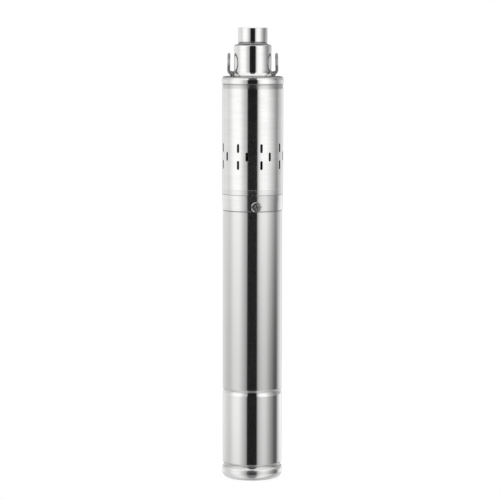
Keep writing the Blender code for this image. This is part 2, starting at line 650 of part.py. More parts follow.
def stator_windings():
    """Coils: a bar through each slot, joined by the end turns."""
    inner = STATOR_BORE + SLOT_LIP + GAP
    outer = SPIGOT_RADIUS - CORE_BACK - GAP
    narrow = SLOT_INNER_WIDTH / 2 - GAP
    wide = SLOT_OUTER_WIDTH / 2 - GAP
    bars = bmesh.new()
    low = CORE_BOTTOM - WINDING_HEIGHT / 4
    high = CORE_TOP + WINDING_HEIGHT / 4
    for slot in range(SLOT_COUNT):
        corners = [
            slot_point(slot, inner, -narrow), slot_point(slot, outer, -wide),
            slot_point(slot, outer, wide), slot_point(slot, inner, narrow),
        ]
        loft([[(x, y, low) for x, y in corners], [(x, y, high) for x, y in corners]], bars)
    windings = make_object("stator_windings", bars, COPPER)
    bevel = WINDING_HEIGHT / 5
    for name, face, way in (("lower", CORE_BOTTOM - GAP, -1), ("upper", CORE_TOP + GAP, 1)):
        end = face + way * WINDING_HEIGHT
        turns = [
            (WINDING_INNER_RADIUS, face), (WINDING_INNER_RADIUS, end - way * bevel),
            (WINDING_INNER_RADIUS + bevel, end), (WINDING_OUTER_RADIUS - bevel, end),
            (WINDING_OUTER_RADIUS, end - way * bevel), (WINDING_OUTER_RADIUS, face),
        ]
        ends = make_object(name + "_end_turns", turned(turns, SMALL_SIDES), COPPER)
        combine(windings, ends, "UNION")


def motor_casing():
    """Tube of the motor, rolled into a groove over the cap and over the lower housing."""
    profile = [(MOTOR_RADIUS, TUBE_BOTTOM)]
    profile += groove(MOTOR_RADIUS, LOW_GROOVE, LOW_GROOVE_DEPTH, False)
    profile += groove(MOTOR_RADIUS, HIGH_GROOVE, HIGH_GROOVE_DEPTH, False)
    profile += [(MOTOR_RADIUS, TUBE_TOP), (MOTOR_BORE, TUBE_TOP)]
    profile += groove(MOTOR_BORE, HIGH_GROOVE, HIGH_GROOVE_DEPTH, True)
    profile += groove(MOTOR_BORE, LOW_GROOVE, LOW_GROOVE_DEPTH, True)
    profile += [(MOTOR_BORE, TUBE_BOTTOM)]
    make_object("motor_casing", turned(profile, LARGE_SIDES), BRUSHED_STEEL)


def screw_angles():
    return [SCREW_ANGLE + FULL_TURN * i / SCREW_COUNT for i in range(SCREW_COUNT)]


def motor_adapter():
    """Casting that closes the motor, holds the upper bearing and seals, and carries the casing."""
    bearing_top = UPPER_BEARING_TOP + GAP
    ledge_top = LIP_SEAL_BOTTOM - GAP
    lip_bore = LIP_SEAL_RADIUS + GAP
    seat_bore = SEAT_RADIUS + GAP
    seat_floor = SEAT_BOTTOM - GAP
    profile = [(POCKET_RADIUS, ADAPTER_BOTTOM), (SPIGOT_RADIUS, ADAPTER_BOTTOM)]
    profile += o_ring_groove(SPIGOT_RADIUS, ADAPTER_O_RING, False)
    profile += [
        (SPIGOT_RADIUS, CASING_BOTTOM), (COLLAR_RADIUS, CASING_BOTTOM), (COLLAR_RADIUS, ADAPTER_TOP),
        (CHAMBER_RADIUS, ADAPTER_TOP), (CHAMBER_RADIUS, CHAMBER_FLOOR), (seat_bore, CHAMBER_FLOOR),
        (seat_bore, seat_floor), (lip_bore, seat_floor), (lip_bore, ledge_top),
        (SEAL_LEDGE_RADIUS, ledge_top), (SEAL_LEDGE_RADIUS, bearing_top), (POCKET_RADIUS, bearing_top),
    ]
    adapter = make_object("motor_adapter", turned(profile, LARGE_SIDES), CAST_IRON)
    holes = bmesh.new()
    hole = circle(SCREW_RADIUS + GAP, 8)
    for angle in screw_angles():
        tip = MOTOR_BORE - SCREW_LENGTH - GAP
        height = BAND_BOTTOM + SCREW_HEIGHT
        loft([
            radial_section(angle, tip, height, hole),
            radial_section(angle, CASING_RADIUS, height, hole),
        ], holes)
    combine(adapter, make_object("adapter_screw_holes", holes), "DIFFERENCE")
    o_ring("adapter_o_ring", SPIGOT_RADIUS, ADAPTER_O_RING)


def shaft_seals():
    """Lip seal, ceramic seat, running face, spring and sand slinger, from the motor up."""
    lip = [
        (SHAFT_BORE, LIP_SEAL_BOTTOM + LIP_SEAL_HEIGHT / 2), (SHAFT_BORE + 2 * GAP, LIP_SEAL_BOTTOM),
        (LIP_SEAL_RADIUS, LIP_SEAL_BOTTOM), (LIP_SEAL_RADIUS, LIP_SEAL_TOP),
        (SEAL_LEDGE_RADIUS + GAP, LIP_SEAL_TOP),
    ]
    make_object("shaft_lip_seal", turned(lip, SMALL_SIDES), RUBBER)
    seat = tube(SEAT_BORE_RADIUS, SEAT_RADIUS, SEAT_BOTTOM, SEAT_TOP)
    make_object("seal_seat", turned(seat, MEDIUM_SIDES), CERAMIC)
    face_step = FACE_BOTTOM + FACE_HEIGHT / 2
    face = [
        (SHAFT_BORE, FACE_BOTTOM), (SHAFT_BORE, FACE_TOP), (FACE_RADIUS, FACE_TOP),
        (FACE_RADIUS, face_step), (FACE_RADIUS - SPRING_WIRE_RADIUS, face_step),
        (FACE_RADIUS - SPRING_WIRE_RADIUS, FACE_BOTTOM),
    ]
    make_object("seal_face", turned(face, SMALL_SIDES), CARBON)
    slinger = [
        (SHAFT_BORE, SLINGER_BOTTOM), (SHAFT_BORE, SLINGER_BOTTOM + SLINGER_HEIGHT),
        (COUPLING_RADIUS, SLINGER_BOTTOM + SLINGER_HEIGHT),
        (SLINGER_RADIUS, SLINGER_BOTTOM + SLINGER_HEIGHT / 2),
        (SLINGER_RADIUS, SLINGER_BOTTOM), (FACE_RADIUS, SLINGER_BOTTOM),
    ]
    make_object("sand_slinger", turned(slinger, MEDIUM_SIDES), RUBBER)


def seal_spring():
    """Compression spring round the shaft, a wire of five sides along a helix."""
    middle = FACE_RADIUS - 2 * SPRING_WIRE_RADIUS
    steps = SPRING_STEPS_PER_TURN * SPRING_TURNS
    first = SPRING_BOTTOM + SPRING_WIRE_RADIUS
    rise = SPRING_HEIGHT - 2 * SPRING_WIRE_RADIUS
    sections = []
    for i in range(steps + 1):
        angle = FULL_TURN * SPRING_TURNS * i / steps
        outward = Vector((math.cos(angle), math.sin(angle), 0))
        centre = outward * middle + Vector((0, 0, first + rise * i / steps))
        wire = circle(SPRING_WIRE_RADIUS, 5)
        sections.append([centre + outward * x + Vector((0, 0, y)) for x, y in wire])
    make_object("seal_spring", loft(sections), BEARING_STEEL)


def connection_band():
    """Sleeve below the casing, with a dimple for each screw head."""
    profile = [
        (MOTOR_BORE, BAND_BOTTOM), (BAND_BOTTOM_RADIUS, BAND_BOTTOM),
        (BAND_TOP_RADIUS, BAND_TOP), (MOTOR_BORE, BAND_TOP),
    ]
    band = make_object("connection_band", turned(profile, LARGE_SIDES), BRUSHED_STEEL)
    cutters = bmesh.new()
    height = BAND_BOTTOM + SCREW_HEIGHT
    floor = dimple_floor()
    wide = DIMPLE_RADIUS + DIMPLE_DEPTH
    for angle in screw_angles():
        loft([
            radial_section(angle, MOTOR_BORE - DIMPLE_DEPTH, height, circle(SCREW_RADIUS + GAP, 8)),
            radial_section(angle, floor, height, circle(SCREW_RADIUS + GAP, 8)),
            radial_section(angle, floor, height, circle(SCREW_HEAD_RADIUS + GAP, 8)),
            radial_section(angle, floor + DIMPLE_DEPTH, height, circle(DIMPLE_RADIUS, 8)),
            radial_section(angle, floor + 2 * DIMPLE_DEPTH, height, circle(wide, 8)),
        ], cutters)
    combine(band, make_object("band_dimples", cutters), "DIFFERENCE")


def dimple_floor():
    """Distance from the axis to the flat that a screw head lies on."""
    share = SCREW_HEIGHT / BAND_HEIGHT
    surface = BAND_BOTTOM_RADIUS + (BAND_TOP_RADIUS - BAND_BOTTOM_RADIUS) * share
    return surface - DIMPLE_DEPTH


def band_screws():
    """Cross-head screws through the band into the adapter."""
    height = BAND_BOTTOM + SCREW_HEIGHT
    floor = dimple_floor() + GAP
    for number, angle in enumerate(screw_angles(), 1):
        outlines = [
            (MOTOR_BORE - SCREW_LENGTH, SCREW_RADIUS), (floor, SCREW_RADIUS),
            (floor, SCREW_HEAD_RADIUS), (floor + SCREW_HEAD_HEIGHT / 2, SCREW_HEAD_RADIUS),
            (floor + SCREW_HEAD_HEIGHT, SCREW_HEAD_RADIUS * 0.8),
        ]
        sections = [radial_section(angle, at, height, circle(size, 8)) for at, size in outlines]
        screw = make_object(f"band_screw_{number}", loft(sections), BEARING_STEEL)
        half = RECESS_WIDTH / 2
        arm = SCREW_HEAD_RADIUS / 2
        cross = [
            (half, half), (half, arm), (-half, arm), (-half, half), (-arm, half), (-arm, -half),
            (-half, -half), (-half, -arm), (half, -arm), (half, -half), (arm, -half), (arm, half),
        ]
        bottom = floor + SCREW_HEAD_HEIGHT - RECESS_DEPTH
        cutter = loft([
            radial_section(angle, bottom, height, cross),
            radial_section(angle, bottom + 2 * SCREW_HEAD_HEIGHT, height, cross),
        ])
        combine(screw, make_object(f"cross_recess_{number}", cutter), "DIFFERENCE")


def intake_casing():
    """Tube of the pump section, with three rows of intake slots all round."""
    lower = CASING_RADIUS - CASING_STEP
    step = CASING_BOTTOM + CASING_STEP_HEIGHT
    profile = [
        (CASING_BORE, CASING_BOTTOM), (lower, CASING_BOTTOM), (lower, step), (CASING_RADIUS, step),
        (CASING_RADIUS, CASING_TOP - CASING_TAPER_HEIGHT), (CASING_RADIUS - CASING_TAPER, CASING_TOP),
        (CASING_BORE, CASING_TOP),
    ]
    casing = make_object("intake_casing", turned(profile, LARGE_SIDES), POLISHED_STEEL)
    half = INTAKE_WIDTH / 2
    straight = INTAKE_HEIGHT / 2 - half
    outline = arc((0, straight), half, 0, 180, 2) + arc((0, -straight), half, 180, 360, 2)
    cutters = bmesh.new()
    for group in range(INTAKE_GROUPS):
        first = INTAKE_ANGLE + FULL_TURN * group / INTAKE_GROUPS
        for row, angle in ((1, first), (-1, first), (0, first + INTAKE_OFFSET)):
            height = CASING_BOTTOM + INTAKE_MIDDLE + row * INTAKE_PITCH
            loft([
                radial_section(angle, CASING_BORE - 2 * CASING_WALL, height, outline),
                radial_section(angle, CASING_RADIUS + CASING_WALL, height, outline),
            ], cutters)
    combine(casing, make_object("intake_slot_cutters", cutters), "DIFFERENCE")


def drive_coupling():
    """Sleeve that joins the motor shaft to the flexible shaft, with a set screw."""
    profile = [
        (SHAFT_BORE, COUPLING_BOTTOM), (COUPLING_RADIUS, COUPLING_BOTTOM), (COUPLING_RADIUS, COUPLING_TOP),
        (FLEX_BORE, COUPLING_TOP), (FLEX_BORE, COUPLING_WEB_TOP), (0, COUPLING_WEB_TOP),
    ]
    inside = [(0, COUPLING_WEB_BOTTOM), (SHAFT_BORE, COUPLING_WEB_BOTTOM)]
    coupling = make_object("drive_coupling", turned(inside + profile, SMALL_SIDES), BEARING_STEEL)
    height = COUPLING_BOTTOM + COUPLING_GRIP / 2
    hole = circle(SET_SCREW_RADIUS + GAP, 8)
    cutter = loft([
        radial_section(0, SHAFT_RADIUS / 2, height, hole),
        radial_section(0, COUPLING_RADIUS * 1.2, height, hole),
    ])
    combine(coupling, make_object("set_screw_hole", cutter), "DIFFERENCE")
    grub = circle(SET_SCREW_RADIUS, 8)
    screw = loft([
        radial_section(0, SHAFT_BORE, height, grub),
        radial_section(0, COUPLING_RADIUS - GAP, height, grub),
    ])
    make_object("coupling_set_screw", screw, BEARING_STEEL)


def flexible_shaft(axis):
    """Spring-steel rod, straight in both grips and bent sideways by the eccentricity between them."""
    start = COUPLING_TOP + FLEX_STRAIGHT
    end = SCREW_NECK_BOTTOM - FLEX_STRAIGHT
    centres = [(0, FLEX_BOTTOM)]
    for i in range(FLEX_STEPS + 1):
        share = i / FLEX_STEPS
        sideways = ECCENTRICITY * share * share * (3 - 2 * share)
        centres.append((sideways, start + (end - start) * share))
    centres.append((ECCENTRICITY, FLEX_TOP))
    sections = []
    for sideways, height in centres:
        sections.append([(x, y, height) for x, y in circle(FLEX_RADIUS, 10, (sideways, 0))])
    made = make_object("flexible_shaft", loft(sections), BEARING_STEEL)
    made.parent = axis


def screw_rotor(axis):
    """Single-start screw: a round section whose centre runs round the screw's own axis."""
    steps = round((SCREW_TOP - SCREW_BOTTOM) / SCREW_PITCH * STEPS_PER_PITCH)
    sections = []
    for i in range(steps + 1):
        height = SCREW_BOTTOM + (SCREW_TOP - SCREW_BOTTOM) * i / steps
        angle = FULL_TURN * (height - STATOR_BOTTOM) / SCREW_PITCH
        centre = (ECCENTRICITY * math.cos(angle), ECCENTRICITY * math.sin(angle))
        ring = circle(SCREW_SECTION_RADIUS, SECTION_SIDES, centre)
        sections.append([(x, y, height) for x, y in ring])
    screw = make_object("screw_rotor", loft(sections), POLISHED_STEEL)
    overlap = SCREW_OVERHANG / 2
    neck = [
        (0, SCREW_NECK_BOTTOM), (SCREW_NECK_RADIUS, SCREW_NECK_BOTTOM),
        (SCREW_NECK_RADIUS - ECCENTRICITY / 2, SCREW_BOTTOM + overlap), (0, SCREW_BOTTOM + overlap),
    ]
    grip_top = FLEX_TOP + GAP
    bore = [
        (0, SCREW_NECK_BOTTOM - overlap), (FLEX_BORE, SCREW_NECK_BOTTOM - overlap),
        (FLEX_BORE, grip_top), (0, grip_top),
    ]
    neck_object = make_object("screw_neck", turned(neck, SMALL_SIDES))
    bore_object = make_object("screw_bore", turned(bore, SMALL_SIDES))
    combine(screw, neck_object, "UNION")
    combine(screw, bore_object, "DIFFERENCE")
    for made in (screw, neck_object, bore_object):
        made.parent = axis


def stator_section(height):
    """Slot-shaped hole for the screw at a height. Its sides touch the true outline from outside."""
    arc_sides = SECTION_SIDES // 2
    clear_radius = SCREW_SECTION_RADIUS + SCREW_CLEARANCE
    corner_radius = clear_radius / math.cos(math.pi / SECTION_SIDES)
    turn = math.pi * (height - STATOR_BOTTOM) / SCREW_PITCH
    flat = []
    for i in range(arc_sides):
        angle = math.pi * (i + 0.5) / arc_sides - math.pi / 2
        flat.append((2 * ECCENTRICITY + corner_radius * math.cos(angle), corner_radius * math.sin(angle)))
    flat += [(ECCENTRICITY, clear_radius), (-ECCENTRICITY, clear_radius)]
    points = []
    for side in (1, -1):
        for x, y in flat:
            along = side * (x * math.cos(turn) - y * math.sin(turn))
            across = side * (x * math.sin(turn) + y * math.cos(turn))
            points.append((along, across, height))
    return points


def twisted_loft(sections):
    """A loft of triangles, split so that the sides of a hole that twists bulge out and not in."""
    bm = bmesh.new()
    loops = [[bm.verts.new(point) for point in section] for section in sections]
    for low, high in zip(loops, loops[1:]):
        for i in range(len(low)):
            j = (i + 1) % len(low)
            bm.faces.new((low[i], low[j], high[i]))
            bm.faces.new((low[j], high[j], high[i]))
    bm.faces.new(loops[0])
    bm.faces.new(loops[-1])
    return bm


def pump_stator():
    """Rubber with a two-start hole, bonded in a steel tube."""
    rubber = [
        (0, STATOR_BOTTOM), (RUBBER_RADIUS, STATOR_BOTTOM), (RUBBER_RADIUS, STATOR_TOP), (0, STATOR_TOP),
    ]
    body = make_object("stator_rubber", turned(rubber, MEDIUM_SIDES), RUBBER)
    steps = 2 * STATOR_TURNS * STEPS_PER_PITCH
    heights = [STATOR_BOTTOM + STATOR_LENGTH * i / steps for i in range(-1, steps + 2)]
    core = twisted_loft([stator_section(height) for height in heights])
    combine(body, make_object("stator_hole", core), "DIFFERENCE")
    sleeve = tube(STATOR_TUBE_BORE, STATOR_TUBE_RADIUS, STATOR_BOTTOM, STATOR_TOP)
    make_object("stator_tube", turned(sleeve, MEDIUM_SIDES), BRUSHED_STEEL)


def discharge_head():
    """Outlet socket, boss and flange in one piece, with a bore for the stator."""
    boss_base = FLANGE_TOP + BOSS_FILLET
    fillet = arc((BOSS_RADIUS + BOSS_FILLET, boss_base), BOSS_FILLET, 180, 270, 3)
    flare = arc((SOCKET_NECK_RADIUS + SOCKET_NECK_HEIGHT, SOCKET_BOTTOM), SOCKET_NECK_HEIGHT, 180, 270, 3)
    sleeve = HEAD_BORE + HEAD_SLEEVE_WALL
    throat_top = BOSS_TOP + THROAT_RISE
    profile = [
        (OUTLET_RADIUS + OUTLET_CHAMFER, SOCKET_TOP), (SOCKET_RADIUS - BOSS_EDGE / 4, SOCKET_TOP),
        (SOCKET_RADIUS, SOCKET_TOP - BOSS_EDGE / 4), (SOCKET_RADIUS, SOCKET_BOTTOM),
    ]
    profile += flare + [
        (BOSS_RADIUS - BOSS_EDGE, BOSS_TOP), (BOSS_RADIUS - BOSS_EDGE / 4, BOSS_TOP - BOSS_EDGE * 0.6),
        (BOSS_RADIUS, BOSS_TOP - BOSS_EDGE * 1.8),
    ]
    profile += fillet + [
        (HEAD_SLOPE_RADIUS, HEAD_SLOPE_TOP), (HEAD_RIM_RADIUS, HEAD_RIM_TOP),
        (HEAD_RIM_RADIUS, HEAD_RIM_BOTTOM), (HEAD_NECK_RADIUS, HEAD_RIM_BOTTOM),
        (HEAD_NECK_RADIUS, HEAD_NECK_BOTTOM), (COLLAR_RADIUS, HEAD_NECK_BOTTOM),
    ]
    profile += o_ring_groove(COLLAR_RADIUS, HEAD_O_RING, True)
    profile += [
        (COLLAR_RADIUS, HEAD_SPIGOT_BOTTOM), (sleeve, HEAD_SPIGOT_BOTTOM), (sleeve, HEAD_BOTTOM),
        (HEAD_BORE, HEAD_BOTTOM), (HEAD_BORE, STATOR_SEAT), (THROAT_RADIUS, STATOR_SEAT),
        (THROAT_RADIUS, throat_top), (OUTLET_RADIUS, throat_top + THROAT_RISE / 2),
        (OUTLET_RADIUS, SOCKET_TOP - OUTLET_CHAMFER),
    ]
    head = make_object("discharge_head", turned(profile, LARGE_SIDES), POLISHED_STEEL)
    clear = GLAND_SPOT + GLAND_NUT_HEIGHT + 2 * GAP
    seat = [(0, GLAND_SPOT), (GLAND_SPOT_RADIUS, GLAND_SPOT), (GLAND_SPOT_RADIUS, clear), (0, clear)]
    spot = make_object("gland_spot_face", turned(seat, SMALL_SIDES), at=(0, GLAND_DISTANCE, 0))
    combine(head, spot, "DIFFERENCE")
    radius = GLAND_SHANK_RADIUS + GAP
    below = HEAD_SPIGOT_BOTTOM - HEAD_NECK_HEIGHT
    hole = [(0, below), (radius, below), (radius, boss_base), (0, boss_base)]
    bore = make_object("gland_hole", turned(hole, SMALL_SIDES), at=(0, GLAND_DISTANCE, 0))
    combine(head, bore, "DIFFERENCE")
    o_ring("head_o_ring", COLLAR_RADIUS, HEAD_O_RING)


def lifting_ring(name, side):
    """Closed wire ring, its plane square to the radius, on a lug that slopes in to the boss."""
    middle = FLANGE_TOP + RING_LIFT + RING_WIRE_RADIUS + RING_RADIUS
    bm = turned(arc((RING_RADIUS, 0), RING_WIRE_RADIUS, 0, 360, 8)[:-1], 20)
    upright = Matrix.Rotation(math.pi / 2, 4, "Y")
    bmesh.ops.transform(bm, matrix=upright, verts=bm.verts[:])
    ring = make_object(name, bm, POLISHED_STEEL, at=(side * RING_DISTANCE, 0, middle))
    fillet_x = BOSS_RADIUS + BOSS_FILLET
    fillet_z = FLANGE_TOP + BOSS_FILLET
    inner = arc((fillet_x, fillet_z), BOSS_FILLET - 2 * GAP, 200, 262, 3)
    ring_bottom = middle - RING_RADIUS
    outline = inner + [
        (RING_DISTANCE + RING_WIRE_RADIUS * 0.7, ring_bottom - RING_WIRE_RADIUS * 0.5),
        (RING_DISTANCE + RING_WIRE_RADIUS * 0.4, ring_bottom + RING_WIRE_RADIUS * 0.6),
        (RING_DISTANCE - RING_WIRE_RADIUS * 0.6, ring_bottom + RING_WIRE_RADIUS * 0.6),
    ]
    half = LUG_WIDTH / 2
    lug = loft([[(side * x, y, z) for x, z in outline] for y in (-half, half)])
    combine(ring, make_object(name + "_lug", lug), "UNION")


def cable_gland():
    """Hexagon nut with a hollow shank, and the rubber grommet that grips the cable."""
    corner = GLAND_NUT_ACROSS_FLATS / math.sqrt(3)
    bottom = GLAND_SPOT + GAP
    top = bottom + GLAND_NUT_HEIGHT
    bore = GROMMET_RADIUS + GAP
    place = (0, GLAND_DISTANCE, 0)
    hexagon = plate([circle(corner, 6), circle(bore, SMALL_SIDES)], bottom, top)
    nut = make_object("cable_gland_nut", hexagon, POLISHED_STEEL, at=place)
    shank = tube(bore, GLAND_SHANK_RADIUS, bottom - GLAND_SHANK_LENGTH, bottom + GLAND_NUT_HEIGHT / 2)
    shank_object = make_object("gland_shank", turned(shank, SMALL_SIDES), at=place)
    combine(nut, shank_object, "UNION")
    grommet = tube(GROMMET_HOLE_RADIUS, GROMMET_RADIUS, top - GROMMET_HEIGHT, top - 2 * GAP)
    make_object("cable_grommet", turned(grommet, SMALL_SIDES), RUBBER, at=place)


def joint_axis(name, sideways):
    """Empty on a turning axis, parallel to Z."""
    empty = bpy.data.objects.new(name, None)
    empty.location = (sideways, 0, 0)
    bpy.context.scene.collection.objects.link(empty)
    return empty


def build():
    bottom_cap()
    diaphragm()
    capacitor_set()
    lower_bearing_housing()
    wave_washer()
    ball_bearing("lower", LOWER_BEARING)
    ball_bearing("upper", UPPER_BEARING)
    motor_shaft()
    rotor_stack()
    stator_core()
    stator_windings()
    motor_casing()
    motor_adapter()
    shaft_seals()
    seal_spring()
    connection_band()
    band_screws()
    intake_casing()
    drive_coupling()
    flexible_shaft(joint_axis("orbit_axis", 0))
    screw_rotor(joint_axis("screw_axis", ECCENTRICITY))
    pump_stator()
    discharge_head()
    lifting_ring("lifting_ring_left", -1)
    lifting_ring("lifting_ring_right", 1)
    cable_gland()


build()
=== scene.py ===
"""Borehole submersible pump, standing on its bottom cap in a white studio.

Metres, +Z up. The pump's axis is the Z axis, and its foot stands at height 0. Turned pieces are
drawn as an outline of (radius, height) points and spun round the axis, as on a lathe.
"""

import math
import bpy
from mathutils import Matrix, Vector


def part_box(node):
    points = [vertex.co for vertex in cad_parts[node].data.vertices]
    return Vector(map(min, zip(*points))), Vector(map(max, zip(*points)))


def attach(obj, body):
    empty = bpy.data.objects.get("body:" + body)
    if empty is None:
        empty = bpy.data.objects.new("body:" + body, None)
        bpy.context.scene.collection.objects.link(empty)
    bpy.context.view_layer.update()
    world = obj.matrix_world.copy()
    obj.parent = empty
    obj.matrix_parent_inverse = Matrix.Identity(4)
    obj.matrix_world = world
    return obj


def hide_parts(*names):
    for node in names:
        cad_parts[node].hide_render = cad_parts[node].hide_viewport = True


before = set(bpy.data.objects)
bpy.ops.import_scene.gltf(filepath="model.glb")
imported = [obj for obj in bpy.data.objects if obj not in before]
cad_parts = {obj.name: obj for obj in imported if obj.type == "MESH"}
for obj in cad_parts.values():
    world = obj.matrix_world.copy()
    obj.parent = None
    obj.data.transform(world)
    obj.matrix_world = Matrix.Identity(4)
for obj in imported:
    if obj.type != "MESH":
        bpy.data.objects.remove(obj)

bpy.ops.object.select_all(action="DESELECT")
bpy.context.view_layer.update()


# Where the solids are

def heights(node):
    low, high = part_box(node)
    return low.z, high.z


CAP_BOTTOM, CAP_TOP = heights("bottom_cap")
TUBE_BOTTOM, TUBE_TOP = heights("motor_casing")
BAND_BOTTOM, BAND_TOP = heights("connection_band")
CASING_BOTTOM, CASING_TOP = heights("intake_casing")
HEAD_BOTTOM, HEAD_TOP = heights("discharge_head")
STATOR_BOTTOM, STATOR_TOP = heights("stator_rubber")
STATOR_LENGTH = STATOR_TOP - STATOR_BOTTOM
SCREW_TOP = heights("screw_rotor")[1]
NUT_TOP = heights("cable_gland_nut")[1]

MM = 0.001
GAP = 0.3 * MM
JOINT = 0.05 * MM
WALL = 1.5 * MM

# Motor tube and cap, and the smooth waist over their joint
TUBE_RADIUS = 46.5 * MM
TUBE_BORE = TUBE_RADIUS - WALL
SPIGOT_RADIUS = TUBE_BORE - GAP
CAP_RADIUS = 47.25 * MM
WAIST = 21.7 * MM
WAIST_DEPTH = 2.1 * MM
WAIST_ABOVE = 4.6 * MM
WAIST_BELOW = 6.0 * MM
HIGH_GROOVE = 140.4 * MM
ROLL_STEPS = 10

# Pump section
CASING_RADIUS = 48.0 * MM
CASING_BORE = CASING_RADIUS - WALL
STEP_TOP = CASING_BOTTOM + 7.9 * MM
TAPER_BOTTOM = CASING_TOP - 6.4 * MM
SLOT_ROWS = CASING_BOTTOM + 60.2 * MM
BAND_SCREW_HEIGHT = BAND_BOTTOM + 7.3 * MM
BAND_SCREW_SHANK = 2.5 * MM
BAND_SCREW_DIRECTIONS = [math.radians(7.3 + 120 * i) for i in range(3)]

# Head
FLANGE_TOP = 636.0 * MM
BOSS_RADIUS = 29.3 * MM
BOSS_TOP = 685.5 * MM
SOCKET_RADIUS = 23.0 * MM
SOCKET_BOTTOM = 690.0 * MM
SOCKET_NECK = 22.0 * MM
BOSS_FILLET = 9.4 * MM
THREAD_PITCH = 2.309 * MM
THREAD_CREST = 15.15 * MM
THREAD_ROOT = 16.55 * MM
RING_DISTANCE = 37.6 * MM
RING_RADIUS = 13.3 * MM
RING_WIRE = 2.2 * MM
GLAND_DISTANCE = 37.2 * MM

# Screw and its rubber
ECCENTRICITY = 3.0 * MM
SCREW_SECTION = 9.5 * MM
SCREW_PITCH = 35.0 * MM


# Finishes

def mixed(first, second, share):
    """From the first number to the second one, for numbers and shader values alike."""
    return first + (second - first) * share


class Value:
    """The output of a shader node, which takes part in sums as a number does."""

    def __init__(self, recipe, socket):
        self.recipe = recipe
        self.socket = socket

    def _maths(self, operation, *terms):
        inputs = dict(enumerate(terms))
        return self.recipe.node("ShaderNodeMath", {"operation": operation}, inputs)

    def __add__(self, other):
        return self._maths("ADD", self, other)

    def __radd__(self, other):
        return self._maths("ADD", other, self)

    def __sub__(self, other):
        return self._maths("SUBTRACT", self, other)

    def __rsub__(self, other):
        return self._maths("SUBTRACT", other, self)

    def __mul__(self, other):
        return self._maths("MULTIPLY", self, other)

    def __rmul__(self, other):
        return self._maths("MULTIPLY", other, self)

    def __truediv__(self, other):
        return self._maths("DIVIDE", self, other)

    def __neg__(self):
        return self._maths("MULTIPLY", self, -1.0)

    def __abs__(self):
        return self._maths("ABSOLUTE", self)

    def between(self, low, high):
        """0 below low, 1 above high, smooth from one to the other."""
        settings = {"interpolation_type": "SMOOTHSTEP", "clamp": True}
        return self.recipe.node("ShaderNodeMapRange", settings, {"Value": self, "From Min": low, "From Max": high})

    def within(self, low, high, soft):
        """1 from low to high, fading out over a soft length at both ends."""
        return self.between(low - soft, low) * (1.0 - self.between(high, high + soft))


class Recipe:
    """The shader nodes of one finish, or of the studio's air."""

    def __init__(self, tree):
        self.tree = tree
        tree.nodes.clear()

    def node(self, kind, settings=None, inputs=None, output=0):
        """Adds a node with its settings first, and then a number or a link for each named input."""
        made = self.tree.nodes.new(kind)
        for name, value in (settings or {}).items():
            if name == "stops":
                self.set_stops(made.color_ramp, value)
            else:
                setattr(made, name, value)
        for name, value in (inputs or {}).items():
            if isinstance(value, Value):
                self.tree.links.new(value.socket, made.inputs[name])
            else:
                made.inputs[name].default_value = value
        return Value(self, made.outputs[output]) if len(made.outputs) else made

    @staticmethod
    def set_stops(ramp, stops):
        """Greys at places along a colour ramp."""
        while len(ramp.elements) < len(stops):
            ramp.elements.new(0.5)
        for element, (position, grey) in zip(ramp.elements, stops):
            element.position = position
            element.color = (grey, grey, grey, 1)

    def place(self, stretch=(1, 1, 1)):
        """Object coordinates, stretched along each axis."""
        at = self.node("ShaderNodeTexCoord", output="Object")
        return self.node("ShaderNodeMapping", {"vector_type": "POINT"}, {"Vector": at, "Scale": stretch})

    def noise(self, scale, stretch=(1, 1, 1), detail=3.0, roughness=0.5):
        inputs = {"Vector": self.place(stretch), "Scale": scale, "Detail": detail, "Roughness": roughness}
        return self.node("ShaderNodeTexNoise", None, inputs)

    def along(self, axis):
        at = self.node("ShaderNodeTexCoord", output="Object")
        return self.node("ShaderNodeSeparateXYZ", None, {0: at}, axis)

    def height(self):
        return self.along("Z")

    def reach(self):
        """Distance from the pump's axis."""
        x, y = self.along("X"), self.along("Y")
        return self.node("ShaderNodeMath", {"operation": "SQRT"}, {0: x * x + y * y})

    def lathe_lines(self, fineness):
        """Fine lines that run round the axis, on cylinders and on faces square to it."""
        patches = 25.0
        level = (self.height() + self.reach() * 1.3) * fineness
        axes = {0: self.along("X") * patches, 1: self.along("Y") * patches, 2: level}
        across = self.node("ShaderNodeCombineXYZ", None, axes)
        return self.node("ShaderNodeTexNoise", None, {"Vector": across, "Scale": 1.0, "Detail": 2.0})

    def blend(self, factor, first, second):
        """From the first colour to the second one."""
        inputs = {"Factor": factor, 6: (*first, 1), 7: (*second, 1)}
        return self.node("ShaderNodeMix", {"data_type": "RGBA"}, inputs, 2)

    def bump(self, relief, depth):
        return self.node("ShaderNodeBump", None, {"Height": relief, "Distance": depth, "Strength": 1.0})


def finish(name, dark, light, spread, metal, smooth, rough, relief=None):
    """A finish whose colour goes from dark to light, and its roughness from smooth to rough, as spread says."""
    material = bpy.data.materials.new(name)
    material.use_nodes = True
    recipe = Recipe(material.node_tree)
    mottle = spread(recipe)
    inputs = {
        "Base Color": recipe.blend(mottle, dark, light),
        "Roughness": smooth if rough == smooth else mixed(smooth, rough, mottle),
        "Metallic": metal,
    }
    if relief:
        inputs["Normal"] = recipe.bump(*relief(recipe))
    shader = recipe.node("ShaderNodeBsdfPrincipled", None, inputs)
    recipe.node("ShaderNodeOutputMaterial", None, {"Surface": shader})
    return material


def wiped(recipe):
    """Soft cloudy marks that a polishing cloth leaves, drawn out round the pump."""
    clouds = recipe.noise(18.0, (1, 1, 2.2), 4.0, 0.55)
    streaks = recipe.noise(60.0, (0.4, 0.4, 6.0), 2.0)
    return (clouds * 0.65 + streaks * 0.35).between(0.30, 0.70)


def polish(recipe, least):
    """Bright everywhere, a little more or less where the cloth went."""
    return mixed(least, 1.0, wiped(recipe))


